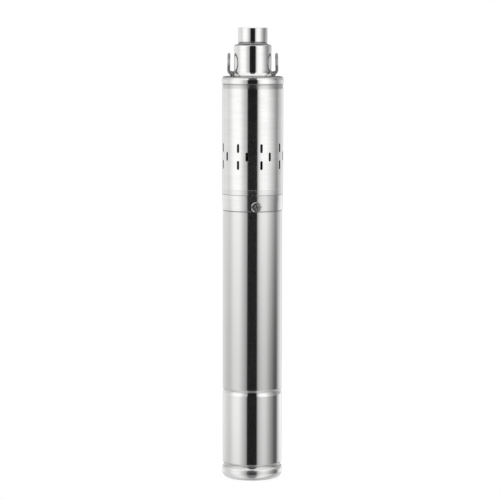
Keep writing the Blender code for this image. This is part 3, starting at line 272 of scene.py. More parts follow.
def tube_grinding_and_painted_shade(recipe):
    """Grinding rings on a tube with painted shade: each length darkens downwards, the upper one towards its upper
    groove, and both ends, at the waist and under the band, are dark. The length below the groove is brighter.
    """
    rings = recipe.lathe_lines(900.0)
    clouds = recipe.noise(14.0, (1, 1, 1.5), 3.0)
    height = recipe.height()
    # Painted shade: both lengths grow lighter upwards and darker downwards.
    upper = height.between(HIGH_GROOVE - 120 * MM, BAND_BOTTOM + 90 * MM) * 0.55
    lower = height.between(-120 * MM, HIGH_GROOVE) * 0.80
    below = 1.0 - height.between(HIGH_GROOVE - 3 * MM, HIGH_GROOVE + 1 * MM)
    # Painted shade at both ends of the tube: dark at the waist and under the band.
    bright = height.within(WAIST + WAIST_ABOVE + 1 * MM, TUBE_TOP - 1.6 * MM, 1.2 * MM)
    return (rings * 0.06 + clouds * 0.08 + upper + lower * below) * bright


def head_polish_and_painted_shade(recipe):
    """Bright all over, with painted shade in the inner corner at the boss's foot, at the rim's lower edge where it
    sits on the casing, and in the neck under the socket.
    """
    height = recipe.height()
    # Painted shade in the neck under the socket.
    socket_neck_painted_shade = height.within(BOSS_TOP - 0.5 * MM, SOCKET_BOTTOM - 0.3 * MM, 0.9 * MM)
    # The flange's flat top is spared the painted shade of the boss's foot.
    flat = recipe.reach().within(39.5 * MM, 43.5 * MM, 1.2 * MM)
    # Painted shade in the corner where the boss meets the flange.
    foot = height.within(FLANGE_TOP - 1.3 * MM, FLANGE_TOP + 1.5 * MM, 1.0 * MM) * (1.0 - 0.8 * flat)
    # Painted shade at the rim's lower edge, where the head sits on the casing.
    neck = height.within(CASING_TOP, CASING_TOP + 1.5 * MM, 0.3 * MM)
    return polish(recipe, 0.88) * (1.0 - socket_neck_painted_shade * 0.85) * (1.0 - foot * 0.75) * (1.0 - neck * 0.55)


def casing_polish_and_painted_shade(recipe):
    """Bright outside and duller over the taper and the foot step. Inside, on the bore and on the slots' walls, it is
    dark with painted shade.
    """
    height = recipe.height()
    taper = height.between(TAPER_BOTTOM - 2.5 * MM, TAPER_BOTTOM + 3 * MM)
    step = 1.0 - height.between(STEP_TOP - 0.5 * MM, STEP_TOP + 0.5 * MM)
    # Painted shade: all but the outer skin is dark, so the slots look shadowed inside.
    outside = recipe.reach().between(CASING_RADIUS - 1.2 * MM, CASING_RADIUS - 0.7 * MM)
    return polish(recipe, 0.88) * (1.0 - taper * 0.33) * (1.0 - step * 0.08) * outside


def band_turning_and_painted_shade(recipe):
    """Fine turning marks, with painted shade at each end, where the band meets the tube and the casing, and in the
    hollows pressed in round the screws.
    """
    height = recipe.height()
    # Painted shade in the pressed hollows round the screws and on the inner wall.
    outside = recipe.reach().between(46.1 * MM, 47.0 * MM)
    # Painted shade at both ends, next to the tube and the casing.
    middle = height.within(BAND_BOTTOM + 1.1 * MM, BAND_TOP - 0.5 * MM, 0.6 * MM)
    return polish(recipe, 0.84) * (0.45 + 0.55 * middle) * (0.15 + 0.85 * outside)


def drawn_wire_and_painted_highlight(recipe):
    """Dull wire, a little lighter over the welded lug, with a painted highlight that makes it lighter at half height.
    """
    height = recipe.height()
    # Painted highlight: a lighter band round the ring at half height.
    light = height.within(FLANGE_TOP + 20 * MM, FLANGE_TOP + 26 * MM, 4 * MM)
    lug = 1.0 - height.between(FLANGE_TOP + 8 * MM, FLANGE_TOP + 10 * MM)
    return recipe.noise(420.0) * 0.25 + light * 0.55 + lug * 0.70


def cap_satin_and_painted_shade(recipe):
    """Satin outside, with painted shade that makes it a little darker over the shoulder, in the waist where it meets
    the tube.
    """
    # Painted shade over the shoulder, in the waist under the tube.
    shoulder = recipe.height().within(TUBE_BOTTOM - 3.0 * MM, CAP_TOP, 1.6 * MM)
    return polish(recipe, 0.80) * (1.0 - shoulder * 0.35)


def fine_lines(fineness, depth):
    return lambda recipe: (recipe.lathe_lines(fineness), depth)


POLISHED = finish(
    "polished steel", (0.80, 0.80, 0.795), (0.86, 0.86, 0.855), wiped, 1.0, 0.09, 0.07, fine_lines(1400.0, 0.4e-6),
)
# The head's finish. Its dark grey shows only where the head's mask paints shade.
HEAD_STEEL_WITH_PAINTED_SHADE = finish(
    "polished head with painted shade", (0.20, 0.20, 0.20), (0.86, 0.86, 0.855), head_polish_and_painted_shade, 1.0, 0.34, 0.07,
    fine_lines(1400.0, 0.4e-6),
)
# The casing's finish. Its dark grey is the painted shade inside the slots and the bore.
CASING_STEEL_WITH_PAINTED_SHADE = finish(
    "polished casing with painted shade", (0.20, 0.20, 0.20), (0.86, 0.86, 0.855), casing_polish_and_painted_shade, 1.0, 0.40, 0.07,
    fine_lines(1400.0, 0.4e-6),
)
# The tube's finish. Its darker grey is the painted shade that the tube's mask places.
SATIN_WITH_PAINTED_SHADE = finish(
    "satin steel with painted shade", (0.62, 0.62, 0.615), (0.84, 0.84, 0.835), tube_grinding_and_painted_shade, 1.0, 0.10, 0.085, fine_lines(1100.0, 0.5e-6),
)
# The band's finish. Its dark grey is the painted shade at its ends and in its hollows.
BAND_STEEL_WITH_PAINTED_SHADE = finish(
    "band steel with painted shade", (0.30, 0.30, 0.30), (0.91, 0.91, 0.905), band_turning_and_painted_shade, 1.0, 0.34, 0.09, fine_lines(1300.0, 0.6e-6),
)
# The cap's finish. Its darker grey is the painted shade over the shoulder.
CAP_STEEL_WITH_PAINTED_SHADE = finish(
    "cap steel with painted shade", (0.70, 0.70, 0.70), (0.86, 0.86, 0.855), cap_satin_and_painted_shade, 1.0, 0.48, 0.13, fine_lines(1200.0, 0.8e-6),
)
# The rings' finish. Its light grey at half height is a painted highlight.
WIRE_STEEL_WITH_PAINTED_HIGHLIGHT = finish(
    "drawn wire with painted highlight", (0.22, 0.22, 0.22), (0.66, 0.66, 0.655), drawn_wire_and_painted_highlight, 1.0, 0.26, 0.50,
    lambda recipe: (recipe.noise(1800.0), 4.0e-6),
)
SCREW_STEEL = finish(
    "screw steel", (0.20, 0.20, 0.20), (0.32, 0.32, 0.315), lambda recipe: recipe.noise(900.0), 1.0, 0.30, 0.22,
    lambda recipe: (recipe.noise(2600.0), 4.0e-6),
)
NUT_STEEL = finish(
    "nut steel", (0.50, 0.50, 0.495), (0.62, 0.62, 0.615), lambda recipe: recipe.noise(300.0), 1.0, 0.26, 0.18,
    lambda recipe: (recipe.noise(1500.0), 3.0e-6),
)
GROUND_STEEL = finish(
    "ground steel", (0.50, 0.51, 0.53), (0.62, 0.63, 0.65), lambda recipe: recipe.lathe_lines(1500.0), 1.0, 0.20, 0.12,
    lambda recipe: (recipe.lathe_lines(2200.0), 1.0e-6),
)
CASTING = finish(
    "grey casting", (0.12, 0.125, 0.13), (0.22, 0.225, 0.23), lambda recipe: recipe.noise(700.0, detail=6.0), 0.75,
    0.70, 0.52, lambda recipe: (recipe.noise(1100.0, detail=5.0), 6.0e-5),
)
LAMINATIONS = finish(
    "stacked sheets", (0.10, 0.10, 0.11), (0.33, 0.33, 0.34), lambda recipe: recipe.noise(1.0, (8, 8, 2000)), 0.9,
    0.55, 0.35, lambda recipe: (recipe.noise(1.0, (4, 4, 2000)), 5.0e-5),
)
COPPER = finish(
    "varnished copper", (0.36, 0.12, 0.05), (0.66, 0.28, 0.12), lambda recipe: recipe.noise(1.0, (1500, 1500, 90)),
    0.85, 0.42, 0.28, lambda recipe: (recipe.noise(1.0, (1400, 1400, 80)), 1.2e-4),
)
ALUMINIUM = finish(
    "plain aluminium", (0.60, 0.61, 0.62), (0.72, 0.73, 0.74), lambda recipe: recipe.noise(120.0), 1.0, 0.42, 0.30,
    lambda recipe: (recipe.noise(900.0), 1.0e-5),
)
RUBBER = finish(
    "black rubber", (0.014, 0.014, 0.014), (0.028, 0.028, 0.028), lambda recipe: recipe.noise(260.0), 0.0, 0.72, 0.58,
    lambda recipe: (recipe.noise(1800.0), 2.0e-5),
)
CERAMIC = finish(
    "lapped ceramic", (0.76, 0.74, 0.69), (0.84, 0.82, 0.78), lambda recipe: recipe.noise(90.0), 0.0, 0.22, 0.14,
)
CARBON = finish(
    "lapped carbon", (0.03, 0.03, 0.033), (0.055, 0.055, 0.06), lambda recipe: recipe.noise(500.0), 0.0, 0.40, 0.30,
)
PLASTIC = finish(
    "moulded plastic", (0.022, 0.022, 0.024), (0.036, 0.036, 0.038), lambda recipe: recipe.noise(200.0), 0.0, 0.46,
    0.36, lambda recipe: (recipe.noise(1500.0), 1.0e-5),
)

INNER_FINISHES = {
    GROUND_STEEL: [
        "lower_bearing_outer_race", "lower_bearing_inner_race", "lower_bearing_balls", "upper_bearing_outer_race",
        "upper_bearing_inner_race", "upper_bearing_balls", "wave_washer", "motor_shaft", "drive_coupling",
        "flexible_shaft", "seal_spring",
    ],
    SCREW_STEEL: ["coupling_set_screw"],
    CASTING: ["motor_adapter", "lower_bearing_housing"],
    LAMINATIONS: ["rotor_core", "stator_core"],
    COPPER: ["stator_windings"],
    ALUMINIUM: ["rotor_end_ring_lower", "rotor_end_ring_upper", "diaphragm_ring", "capacitor"],
    RUBBER: [
        "adapter_o_ring", "head_o_ring", "shaft_lip_seal", "sand_slinger", "pressure_diaphragm", "capacitor_buffer",
    ],
    CERAMIC: ["seal_seat"],
    CARBON: ["seal_face"],
    PLASTIC: ["capacitor_holder"],
}
for look, names in INNER_FINISHES.items():
    for node_name in names:
        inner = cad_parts[node_name]
        inner.data.materials.clear()
        inner.data.materials.append(look)


# Shaping

def choose(*pieces):
    """Selects these objects alone, with the first one active."""
    bpy.ops.object.select_all(action="DESELECT")
    for piece in pieces:
        piece.select_set(True)
    bpy.context.view_layer.objects.active = pieces[0]


def select_all():
    """Selects the whole mesh, in edit mode."""
    bpy.ops.mesh.select_all(action="SELECT")


def settle():
    """Writes the selected objects' places into their meshes."""
    bpy.ops.object.transform_apply(location=True, rotation=True, scale=True)


def rename(piece, name):
    """Names the object and its mesh alike."""
    piece.name = name
    piece.data.name = name


def start_point(x, y, z):
    """A new object in edit mode, holding one selected point."""
    bpy.ops.object.select_all(action="DESELECT")
    bpy.ops.mesh.primitive_plane_add(size=MM, location=(0, 0, 0))
    bpy.ops.object.mode_set(mode="EDIT")
    bpy.ops.mesh.select_mode(type="VERT")
    select_all()
    bpy.ops.mesh.merge(type="CENTER")
    bpy.ops.transform.translate(value=(x, y, z))


def draw(points, closed=True):
    """Extrudes a point along a line of points."""
    start_point(*points[0])
    line = points + points[:1] if closed else points
    for here, there in zip(line, line[1:]):
        step = tuple(b - a for a, b in zip(here, there))
        bpy.ops.mesh.extrude_vertices_move(TRANSFORM_OT_translate={"value": step})
    select_all()
    bpy.ops.mesh.remove_doubles(threshold=1e-6)


def leave_edit(name):
    """Closes the edit with all faces pointing out, and names the object."""
    select_all()
    bpy.ops.mesh.remove_doubles(threshold=1e-6)
    bpy.ops.mesh.normals_make_consistent(inside=False)
    bpy.ops.object.mode_set(mode="OBJECT")
    made = bpy.context.object
    rename(made, name)
    return made


def held(outline, hold=0.4 * MM):
    """The outline with a point close to each end of a long straight, so that shading stays flat there."""
    points = []
    for (r1, z1), (r2, z2) in zip(outline, outline[1:] + outline[:1]):
        points.append((r1, z1))
        length = math.hypot(r2 - r1, z2 - z1)
        if length > 4 * hold:
            share = hold / length
            points.append((r1 + (r2 - r1) * share, z1 + (z2 - z1) * share))
            points.append((r2 + (r1 - r2) * share, z2 + (z1 - z2) * share))
    return points


def spin(name, outline, sides, on_axis=False):
    """Turns an outline round Z. It is closed, unless both of its ends are on the axis."""
    points = outline if on_axis else held(outline)
    draw([(radius, 0.0, height) for radius, height in points], closed=not on_axis)
    select_all()
    bpy.ops.mesh.spin(steps=sides, angle=2 * math.pi, center=(0, 0, 0), axis=(0, 0, 1), use_auto_merge=True)
    return leave_edit(name)


def bend(centre, radius, first, last, steps):
    """Points along an arc, angles in degrees."""
    points = []
    for i in range(steps + 1):
        angle = math.radians(first + (last - first) * i / steps)
        points.append((centre[0] + radius * math.cos(angle), centre[1] + radius * math.sin(angle)))
    return points


def rolled(surface, middle, depth, below, above):
    """The rounded hollow of a rolled groove, going up, by how far it reaches below and above its middle."""
    points = []
    for i in range(-ROLL_STEPS, ROLL_STEPS + 1):
        share = i / ROLL_STEPS
        drop = depth * (0.5 + 0.5 * math.cos(math.pi * share)) ** 1.2
        points.append((surface - drop, middle + share * (above if i > 0 else below)))
    return points


def smooth(piece, angle=30):
    choose(piece)
    bpy.ops.object.shade_smooth_by_angle(angle=math.radians(angle))


def apply_modifier(piece, kind, **settings):
    choose(piece)
    bpy.ops.object.modifier_add(type=kind)
    modifier = piece.modifiers[-1]
    for name, value in settings.items():
        setattr(modifier, name, value)
    bpy.ops.object.modifier_apply(modifier=modifier.name)


def join_or_cut(piece, tool, operation):
    """UNION, DIFFERENCE or INTERSECT with a tool, which is used up."""
    apply_modifier(piece, "BOOLEAN", operation=operation, object=tool, solver="EXACT")
    bpy.data.objects.remove(tool, do_unlink=True)


def soften(piece, width, segments=3, angle=35):
    apply_modifier(
        piece, "BEVEL", width=width, segments=segments, limit_method="ANGLE", angle_limit=math.radians(angle),
        use_clamp_overlap=True, miter_outer="MITER_ARC",
    )


def place(piece, at=(0, 0, 0), turn=(0, 0, 0)):
    """Turns the piece about the origin, moves it, and writes both into its mesh."""
    piece.rotation_euler = turn
    piece.location = at
    choose(piece)
    settle()


def join(pieces):
    """Makes one object of several."""
    choose(*pieces)
    bpy.ops.object.join()
    return bpy.context.object


def dress(piece, look, body="pump_body", instead_of=()):
    """Gives a piece its finish, the body that it rides on and the solids that it stands for."""
    piece.data.materials.clear()
    piece.data.materials.append(look)
    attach(piece, body)
    if instead_of:
        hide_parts(*instead_of)


def outwards(angle, distance, height):
    """A point at an angle to the right of the front, and the turn that points +Z there."""
    at = (math.sin(angle) * distance, -math.cos(angle) * distance, height)
    return at, (math.pi / 2, 0, angle)


# Motor tube and bottom cap

def lower_waist():
    """From the cap's full width up to the narrowest of the waist."""
    return rolled(CAP_RADIUS, WAIST, CAP_RADIUS - TUBE_RADIUS + WAIST_DEPTH, WAIST_BELOW, 0)[:ROLL_STEPS + 1]


def upper_waist(surface):
    """From the narrowest of the waist up to the tube's full width, outside or inside."""
    return rolled(surface, WAIST, WAIST_DEPTH, 0, WAIST_ABOVE)[ROLL_STEPS:]


def make_cap():
    """Cup with a rounded foot and a waisted shoulder. Its spigot goes up into the tube."""
    foot = 10.5 * MM
    vent, vent_edge = 2.5 * MM, 0.4 * MM
    hollow, floor = 35.0 * MM, 6.0 * MM
    rim = TUBE_BOTTOM - JOINT
    shoulder = [(radius, height) for radius, height in lower_waist() if height < rim]
    rim_radius = shoulder[-1][0] - 0.5 * MM
    outline = [(vent, CAP_BOTTOM + vent_edge), (vent + vent_edge, CAP_BOTTOM)]
    outline += bend((CAP_RADIUS - foot, CAP_BOTTOM + foot), foot, -90, 0, 18)
    outline += shoulder + [(rim_radius, rim), (SPIGOT_RADIUS - WAIST_DEPTH, rim)] + upper_waist(SPIGOT_RADIUS)
    outline += [(SPIGOT_RADIUS, CAP_TOP), (hollow, CAP_TOP), (hollow, floor), (vent, floor)]
    cap = spin("foot_cap", outline, 192)
    smooth(cap)
    dress(cap, CAP_STEEL_WITH_PAINTED_SHADE, instead_of=["bottom_cap"])


def make_motor_tube():
    """Drawn tube, rolled in at its lower end, with a rolled groove above its lower chamber."""
    edge = 0.35 * MM
    groove = 1.2 * MM
    outline = [(radius, height) for radius, height in lower_waist() if height > TUBE_BOTTOM - JOINT][:-1]
    outline += upper_waist(TUBE_RADIUS)
    outline += rolled(TUBE_RADIUS, HIGH_GROOVE, groove, below=6.2 * MM, above=4.2 * MM)
    outline += [(TUBE_RADIUS, TUBE_TOP - edge), (TUBE_RADIUS - edge, TUBE_TOP), (TUBE_BORE, TUBE_TOP)]
    outline += rolled(TUBE_BORE, HIGH_GROOVE, groove, below=3.4 * MM, above=3.4 * MM)[::-1]
    outline += upper_waist(TUBE_BORE)[::-1] + [(TUBE_BORE - WAIST_DEPTH, TUBE_BOTTOM)]
    tube = spin("motor_tube", outline, 192)
    smooth(tube)
    dress(tube, SATIN_WITH_PAINTED_SHADE, instead_of=["motor_casing"])


# Connection band and its screws

def make_band():
    """Conical sleeve, pressed in round each screw."""
    edge = 0.35 * MM
    low_radius, high_radius = 46.9 * MM, 47.6 * MM
    rows = 56
    outline = [(TUBE_BORE, BAND_BOTTOM), (low_radius - edge, BAND_BOTTOM)]
    for i in range(rows + 1):
        share = i / rows
        height = BAND_BOTTOM + edge + (BAND_TOP - BAND_BOTTOM - 2 * edge) * share
        outline.append((low_radius + (high_radius - low_radius) * share, height))
    outline += [(high_radius - edge, BAND_TOP), (TUBE_BORE, BAND_TOP)]
    band = spin("band", outline, 400)
    press_in(band, low_radius - 1.0 * MM)
    drills = []
    for angle in BAND_SCREW_DIRECTIONS:
        bpy.ops.mesh.primitive_cylinder_add(vertices=48, radius=BAND_SCREW_SHANK + GAP, depth=9 * MM)
        at, turn = outwards(angle, TUBE_BORE, BAND_SCREW_HEIGHT)
        place(bpy.context.object, at, turn)
        drills.append(bpy.context.object)
    join_or_cut(band, join(drills), "DIFFERENCE")
    smooth(band)
    dress(band, BAND_STEEL_WITH_PAINTED_SHADE, instead_of=["connection_band"])


def press_in(band, least):
    """Pushes the wall in round each screw where it reaches out further than least: flat under the head."""
    floor_radius, rim_radius, depth = 6.1 * MM, 7.9 * MM, 1.3 * MM
    for vertex in band.data.vertices:
        reach = math.hypot(vertex.co.x, vertex.co.y)
        if reach < least:
            continue
        angle = math.atan2(vertex.co.x, -vertex.co.y)
        for direction in BAND_SCREW_DIRECTIONS:
            turn = (angle - direction + math.pi) % (2 * math.pi) - math.pi
            away = math.hypot(turn * reach, vertex.co.z - BAND_SCREW_HEIGHT)
            if away < rim_radius:
                share = min(1.0, (rim_radius - away) / (rim_radius - floor_radius))
                push = depth * share * share * (3 - 2 * share)
                vertex.co.x *= (reach - push) / reach
                vertex.co.y *= (reach - push) / reach


def make_band_screws():
    """Pan heads with a cross recess, on plain shanks."""
    head_radius, head_height, edge = 5.8 * MM, 1.0 * MM, 0.8 * MM
    shank_end = -7.0 * MM
    seat = 45.8 * MM
    recess = (5.4 * MM, 1.1 * MM, 1.5 * MM)
    recess_turn = 0.3
    for number, angle in enumerate(BAND_SCREW_DIRECTIONS, 1):
        outline = [(0, shank_end), (BAND_SCREW_SHANK, shank_end), (BAND_SCREW_SHANK, 0), (head_radius, 0)]
        outline += bend((head_radius - edge, head_height - 0.75 * MM), edge, 0, 70, 6)
        outline += [(0, head_height + 0.1 * MM)]
        screw = spin(f"pan_screw_{number}", outline, 64, on_axis=True)
        for turn in (recess_turn, recess_turn + math.pi / 2):
            bpy.ops.mesh.primitive_cube_add(size=1, location=(0, 0, head_height), scale=recess)
            arm = bpy.context.object
            place(arm, (0, 0, head_height), (0, 0, turn))
            join_or_cut(screw, arm, "DIFFERENCE")
        soften(screw, 0.12 * MM, 2)
        smooth(screw)
        at, turn = outwards(angle, seat, BAND_SCREW_HEIGHT)
        place(screw, at, turn)
        dress(screw, SCREW_STEEL, instead_of=[f"band_screw_{number}"])


# Intake casing

def make_casing():
    """Polished tube with a small step at its foot, a taper at its top and the intake slots."""
    edge = 0.3 * MM
    lower, upper = CASING_RADIUS - 0.3 * MM, CASING_RADIUS - 0.5 * MM
    slot_low, slot_high = SLOT_ROWS - 22.0 * MM, SLOT_ROWS + 22.0 * MM
    outline = [(CASING_BORE, CASING_BOTTOM), (lower - edge, CASING_BOTTOM), (lower, CASING_BOTTOM + edge)]
    outline += [(lower, STEP_TOP - edge), (CASING_RADIUS, STEP_TOP), (CASING_RADIUS, slot_low)]
    outline += [(CASING_RADIUS, slot_high), (CASING_RADIUS, TAPER_BOTTOM)]
    outline += [(upper, CASING_TOP - edge), (upper - edge, CASING_TOP), (CASING_BORE, CASING_TOP)]
    outline += [(CASING_BORE, slot_high), (CASING_BORE, slot_low)]
    casing = spin("slotted_casing", outline, 240)
    join_or_cut(casing, intake_slots(), "DIFFERENCE")
    smooth(casing)
    dress(casing, CASING_STEEL_WITH_PAINTED_SHADE, instead_of=["intake_casing"])


def intake_slots():
    """Cutters for three rows of slots with round ends, two above each other and one between and beside them."""
    width, height, depth, pitch = 4.0 * MM, 14.0 * MM, 8.0 * MM, 13.2 * MM
    groups = 8
    beside = math.radians(17.2)
    cutters = []
    for group in range(groups):
        first = math.radians(-28.2) + 2 * math.pi * group / groups
        for row, angle in ((1, first), (-1, first), (0, first + beside)):
            bpy.ops.mesh.primitive_cube_add(size=1, location=(0, 0, 0), scale=(width, height, depth))
            bpy.ops.object.transform_apply(location=False, rotation=False, scale=True)
            bpy.ops.object.mode_set(mode="EDIT")
            choose_edges(lambda a, b: abs(a.z - b.z) > depth / 2)
            bpy.ops.mesh.bevel(offset=width * 0.499, segments=8, affect="EDGES")
            bpy.ops.object.mode_set(mode="OBJECT")
            at, turn = outwards(angle, CASING_RADIUS, SLOT_ROWS + row * pitch)
            place(bpy.context.object, at, turn)
            cutters.append(bpy.context.object)
    return join(cutters)


def choose_edges(wanted):
    """Selects the edges, in edit mode, whose two ends are as wanted."""
    bpy.ops.mesh.select_mode(type="EDGE")
    bpy.ops.mesh.select_all(action="DESELECT")
    bpy.ops.object.mode_set(mode="OBJECT")
    mesh = bpy.context.object.data
    for edge in mesh.edges:
        ends = [mesh.vertices[i].co for i in edge.vertices]
        edge.select = wanted(*ends)
    bpy.ops.object.mode_set(mode="EDIT")


# Discharge head

def make_head():
    """Flange, boss and outlet socket turned from one piece, with the bore for the stator."""
    neck, rim = 47.25 * MM, 48.5 * MM
    collar = CASING_BORE - GAP
    neck_bottom = CASING_TOP + GAP
    rim_bottom = neck_bottom + 1.0 * MM
    rim_top = rim_bottom + 6.4 * MM
    shoulder, shoulder_reach = 3.0 * MM, 47.7 * MM
    spigot = neck_bottom - 17.3 * MM
    seal, seal_half, seal_floor = neck_bottom - 9.1 * MM, 1.3 * MM, 43.9 * MM
    stator_bore, sleeve = 26.3 * MM, 31.0 * MM
    seat = STATOR_TOP + GAP
    throat, throat_top = 17.0 * MM, 690.5 * MM
    thread_bottom, thread_edge = 692.5 * MM, 0.9 * MM
    flare = SOCKET_BOTTOM - BOSS_TOP
    edge, boss_edge = 0.5 * MM, 2.4 * MM
    outline = [(THREAD_ROOT + thread_edge, HEAD_TOP)]
    outline += bend((SOCKET_RADIUS - edge, HEAD_TOP - edge), edge, 90, 0, 5)
    outline += bend((SOCKET_RADIUS - edge, SOCKET_BOTTOM + edge), edge, 0, -90, 4)
    outline += bend((SOCKET_NECK + flare, SOCKET_BOTTOM), flare, 180, 270, 12)
    outline += bend((BOSS_RADIUS - boss_edge, BOSS_TOP - boss_edge), boss_edge, 90, 0, 8)
    outline += bend((BOSS_RADIUS + BOSS_FILLET, FLANGE_TOP + BOSS_FILLET), BOSS_FILLET, 180, 270, 16)
    outline += bend((shoulder_reach - shoulder, FLANGE_TOP - shoulder), shoulder, 90, 10, 10) + [(rim, rim_top)]
    outline += bend((rim - edge, rim_bottom + edge), edge, 0, -90, 4)
    outline += [(neck, rim_bottom), (neck, neck_bottom), (collar, neck_bottom)]
    outline += [(collar, seal + seal_half), (seal_floor, seal + seal_half)]
    outline += [(seal_floor, seal - seal_half), (collar, seal - seal_half)]
    outline += [(collar, spigot), (sleeve, spigot), (sleeve, HEAD_BOTTOM)]
    outline += [(stator_bore, HEAD_BOTTOM), (stator_bore, seat), (throat, seat), (throat, throat_top)]
    outline += [(THREAD_ROOT, thread_bottom), (THREAD_ROOT, HEAD_TOP - thread_edge)]
    head = spin("outlet_head", outline, 192)
    nut_hole = (7.3 * MM, FLANGE_TOP - 1.0 * MM, NUT_TOP + GAP)
    shank_hole = (5.3 * MM, spigot - 1.0 * MM, FLANGE_TOP)
    for radius, low, high in (nut_hole, shank_hole):
        bpy.ops.mesh.primitive_cylinder_add(
            vertices=64, radius=radius, depth=high - low, location=(0, GLAND_DISTANCE, (low + high) / 2),
        )
        join_or_cut(head, bpy.context.object, "DIFFERENCE")
    smooth(head)
    dress(head, HEAD_STEEL_WITH_PAINTED_SHADE, instead_of=["discharge_head"])


def make_thread():
    """The outlet's female thread, one ridge that winds up the bore."""
    turns, steps = 7, 96
    low = 693.4 * MM
    root, root_half = THREAD_ROOT + 0.15 * MM, THREAD_PITCH * 0.42
    crest_half = 0.25 * MM
    draw([
        (root, 0.0, low - root_half), (root, 0.0, low + root_half),
        (THREAD_CREST, 0.0, low + crest_half), (THREAD_CREST, 0.0, low - crest_half),
    ])
    select_all()
    bpy.ops.mesh.edge_face_add()
    bpy.ops.object.mode_set(mode="OBJECT")
    thread = bpy.context.object
    apply_modifier(
        thread, "SCREW", axis="Z", angle=2 * math.pi * turns, screw_offset=THREAD_PITCH * turns, iterations=1,
        steps=steps * turns, render_steps=steps * turns, use_merge_vertices=False, use_smooth_shade=True,
    )
    close_and_name(thread, "outlet_thread")
    smooth(thread)
    dress(thread, POLISHED)


def close_and_name(piece, name):
    """Fills the open ends of a wound piece and points its faces out."""
    choose(piece)
    bpy.ops.object.mode_set(mode="EDIT")
    select_all()
    bpy.ops.mesh.remove_doubles(threshold=1e-6)
    bpy.ops.mesh.fill_holes(sides=0)
    return leave_edit(name)


# Lifting rings

def make_lifting_ring(side, name):
    """Wire ring that stands square to the radius, welded to a lug at the foot of the boss."""
    middle = FLANGE_TOP + 5.5 * MM + RING_WIRE + RING_RADIUS
    bpy.ops.mesh.primitive_torus_add(
        major_radius=RING_RADIUS, minor_radius=RING_WIRE, major_segments=96, minor_segments=32, location=(0, 0, 0),
    )
    ring = bpy.context.object
    lean = math.radians(-1.2) * side
    place(ring, (side * RING_DISTANCE, 0, middle), (0, math.pi / 2 + lean, 0))
    fillet_centre = (BOSS_RADIUS + BOSS_FILLET, FLANGE_TOP + BOSS_FILLET)
    bottom = middle - RING_RADIUS
    side_view = bend(fillet_centre, BOSS_FILLET - 0.1 * MM, 191, 244, 8) + [
        (RING_DISTANCE + 2.1 * MM, bottom - 1.1 * MM), (RING_DISTANCE + 1.6 * MM, bottom + 1.3 * MM),
        (RING_DISTANCE - 1.3 * MM, bottom + 1.3 * MM),
    ]
    half = 4.0 * MM
    draw([(side * x, -half, z) for x, z in side_view])
    select_all()
    bpy.ops.mesh.edge_face_add()
    bpy.ops.mesh.extrude_region_move(TRANSFORM_OT_translate={"value": (0, 2 * half, 0)})
    lug = leave_edit(name + "_lug")
    soften(lug, 0.7 * MM, 4, 25)
    join_or_cut(ring, lug, "UNION")
    rename(ring, name)
    smooth(ring, 40)
    dress(ring, WIRE_STEEL_WITH_PAINTED_HIGHLIGHT, instead_of=[name.replace("wire", "lifting")])
    weld(side, name + "_weld")


def weld(side, name):
    """Two beads of overlapping drops, where the lug meets the boss and the flange."""
    at_boss = (BOSS_RADIUS + 0.25 * MM, FLANGE_TOP + 8.0 * MM)
    at_flange = (BOSS_RADIUS + 5.9 * MM, FLANGE_TOP + 0.7 * MM)
    drops = []
    for i in range(9):
        along = (i - 4) * MM
        size = 0.75 * MM * (1 + 0.12 * math.sin(2.4 * i))
        for out, up in (at_boss, at_flange):
            bpy.ops.mesh.primitive_uv_sphere_add(
                segments=20, ring_count=12, radius=size, location=(side * out, along, up),
            )
            drops.append(bpy.context.object)
    bead = join(drops)
    settle()
    apply_modifier(bead, "REMESH", mode="VOXEL", voxel_size=0.16 * MM)
    apply_modifier(bead, "SMOOTH", factor=0.5, iterations=3)
    rename(bead, name)
    smooth(bead, 60)
    dress(bead, NUT_STEEL)


# Cable gland behind the boss

def make_gland():
    """Hexagon nut with chamfered corners, and the rubber that grips the cable."""
    corner = 11.8 * MM / math.sqrt(3)
    chamfer = 1.3 * MM
    nut_bottom = FLANGE_TOP - 0.7 * MM
    shank_bottom, shank_radius, shank_top = nut_bottom - 9.0 * MM, 5.0 * MM, nut_bottom + 4.0 * MM
    bore = 4.3 * MM
    bpy.ops.mesh.primitive_cylinder_add(
        vertices=6, radius=corner, depth=NUT_TOP - nut_bottom, location=(0, 0, (NUT_TOP + nut_bottom) / 2),
        rotation=(0, 0, math.radians(30)),
    )
    nut = bpy.context.object
    settle()
    round_off = [
        (0, nut_bottom - MM), (corner + MM, nut_bottom - MM), (corner + MM, NUT_TOP - chamfer),
        (corner - chamfer, NUT_TOP), (0, NUT_TOP),
    ]
    join_or_cut(nut, spin("corner_cutter", round_off, 96, on_axis=True), "INTERSECT")
    hole = [
        (0, nut_bottom - MM), (bore, nut_bottom - MM), (bore, NUT_TOP - 0.5 * MM), (bore + 1.5 * MM, NUT_TOP + MM),
        (0, NUT_TOP + MM),
    ]
    join_or_cut(nut, spin("bore_cutter", hole, 96, on_axis=True), "DIFFERENCE")
    shank = spin("gland_shank", [
        (bore, shank_bottom), (shank_radius, shank_bottom), (shank_radius, shank_top), (bore, shank_top),
    ], 64)
    join_or_cut(nut, shank, "UNION")
    soften(nut, 0.15 * MM, 2)
    smooth(nut)
    rename(nut, "gland_nut")
    place(nut, (0, GLAND_DISTANCE, 0))
    dress(nut, NUT_STEEL, instead_of=["cable_gland_nut"])
    low, high = heights("cable_grommet")
    inner, outer, edge = 1.9 * MM, 4.0 * MM, 0.6 * MM
    outline = [(inner, low), (outer, low)] + bend((outer - edge, high - edge), edge, 0, 90, 5)
    outline += bend((inner + edge, high - edge), edge, 90, 180, 5)
    grip = spin("gland_rubber", outline, 64)
    smooth(grip)
    place(grip, (0, GLAND_DISTANCE, 0))
    dress(grip, RUBBER, instead_of=["cable_grommet"])


# Pumping screw in its rubber

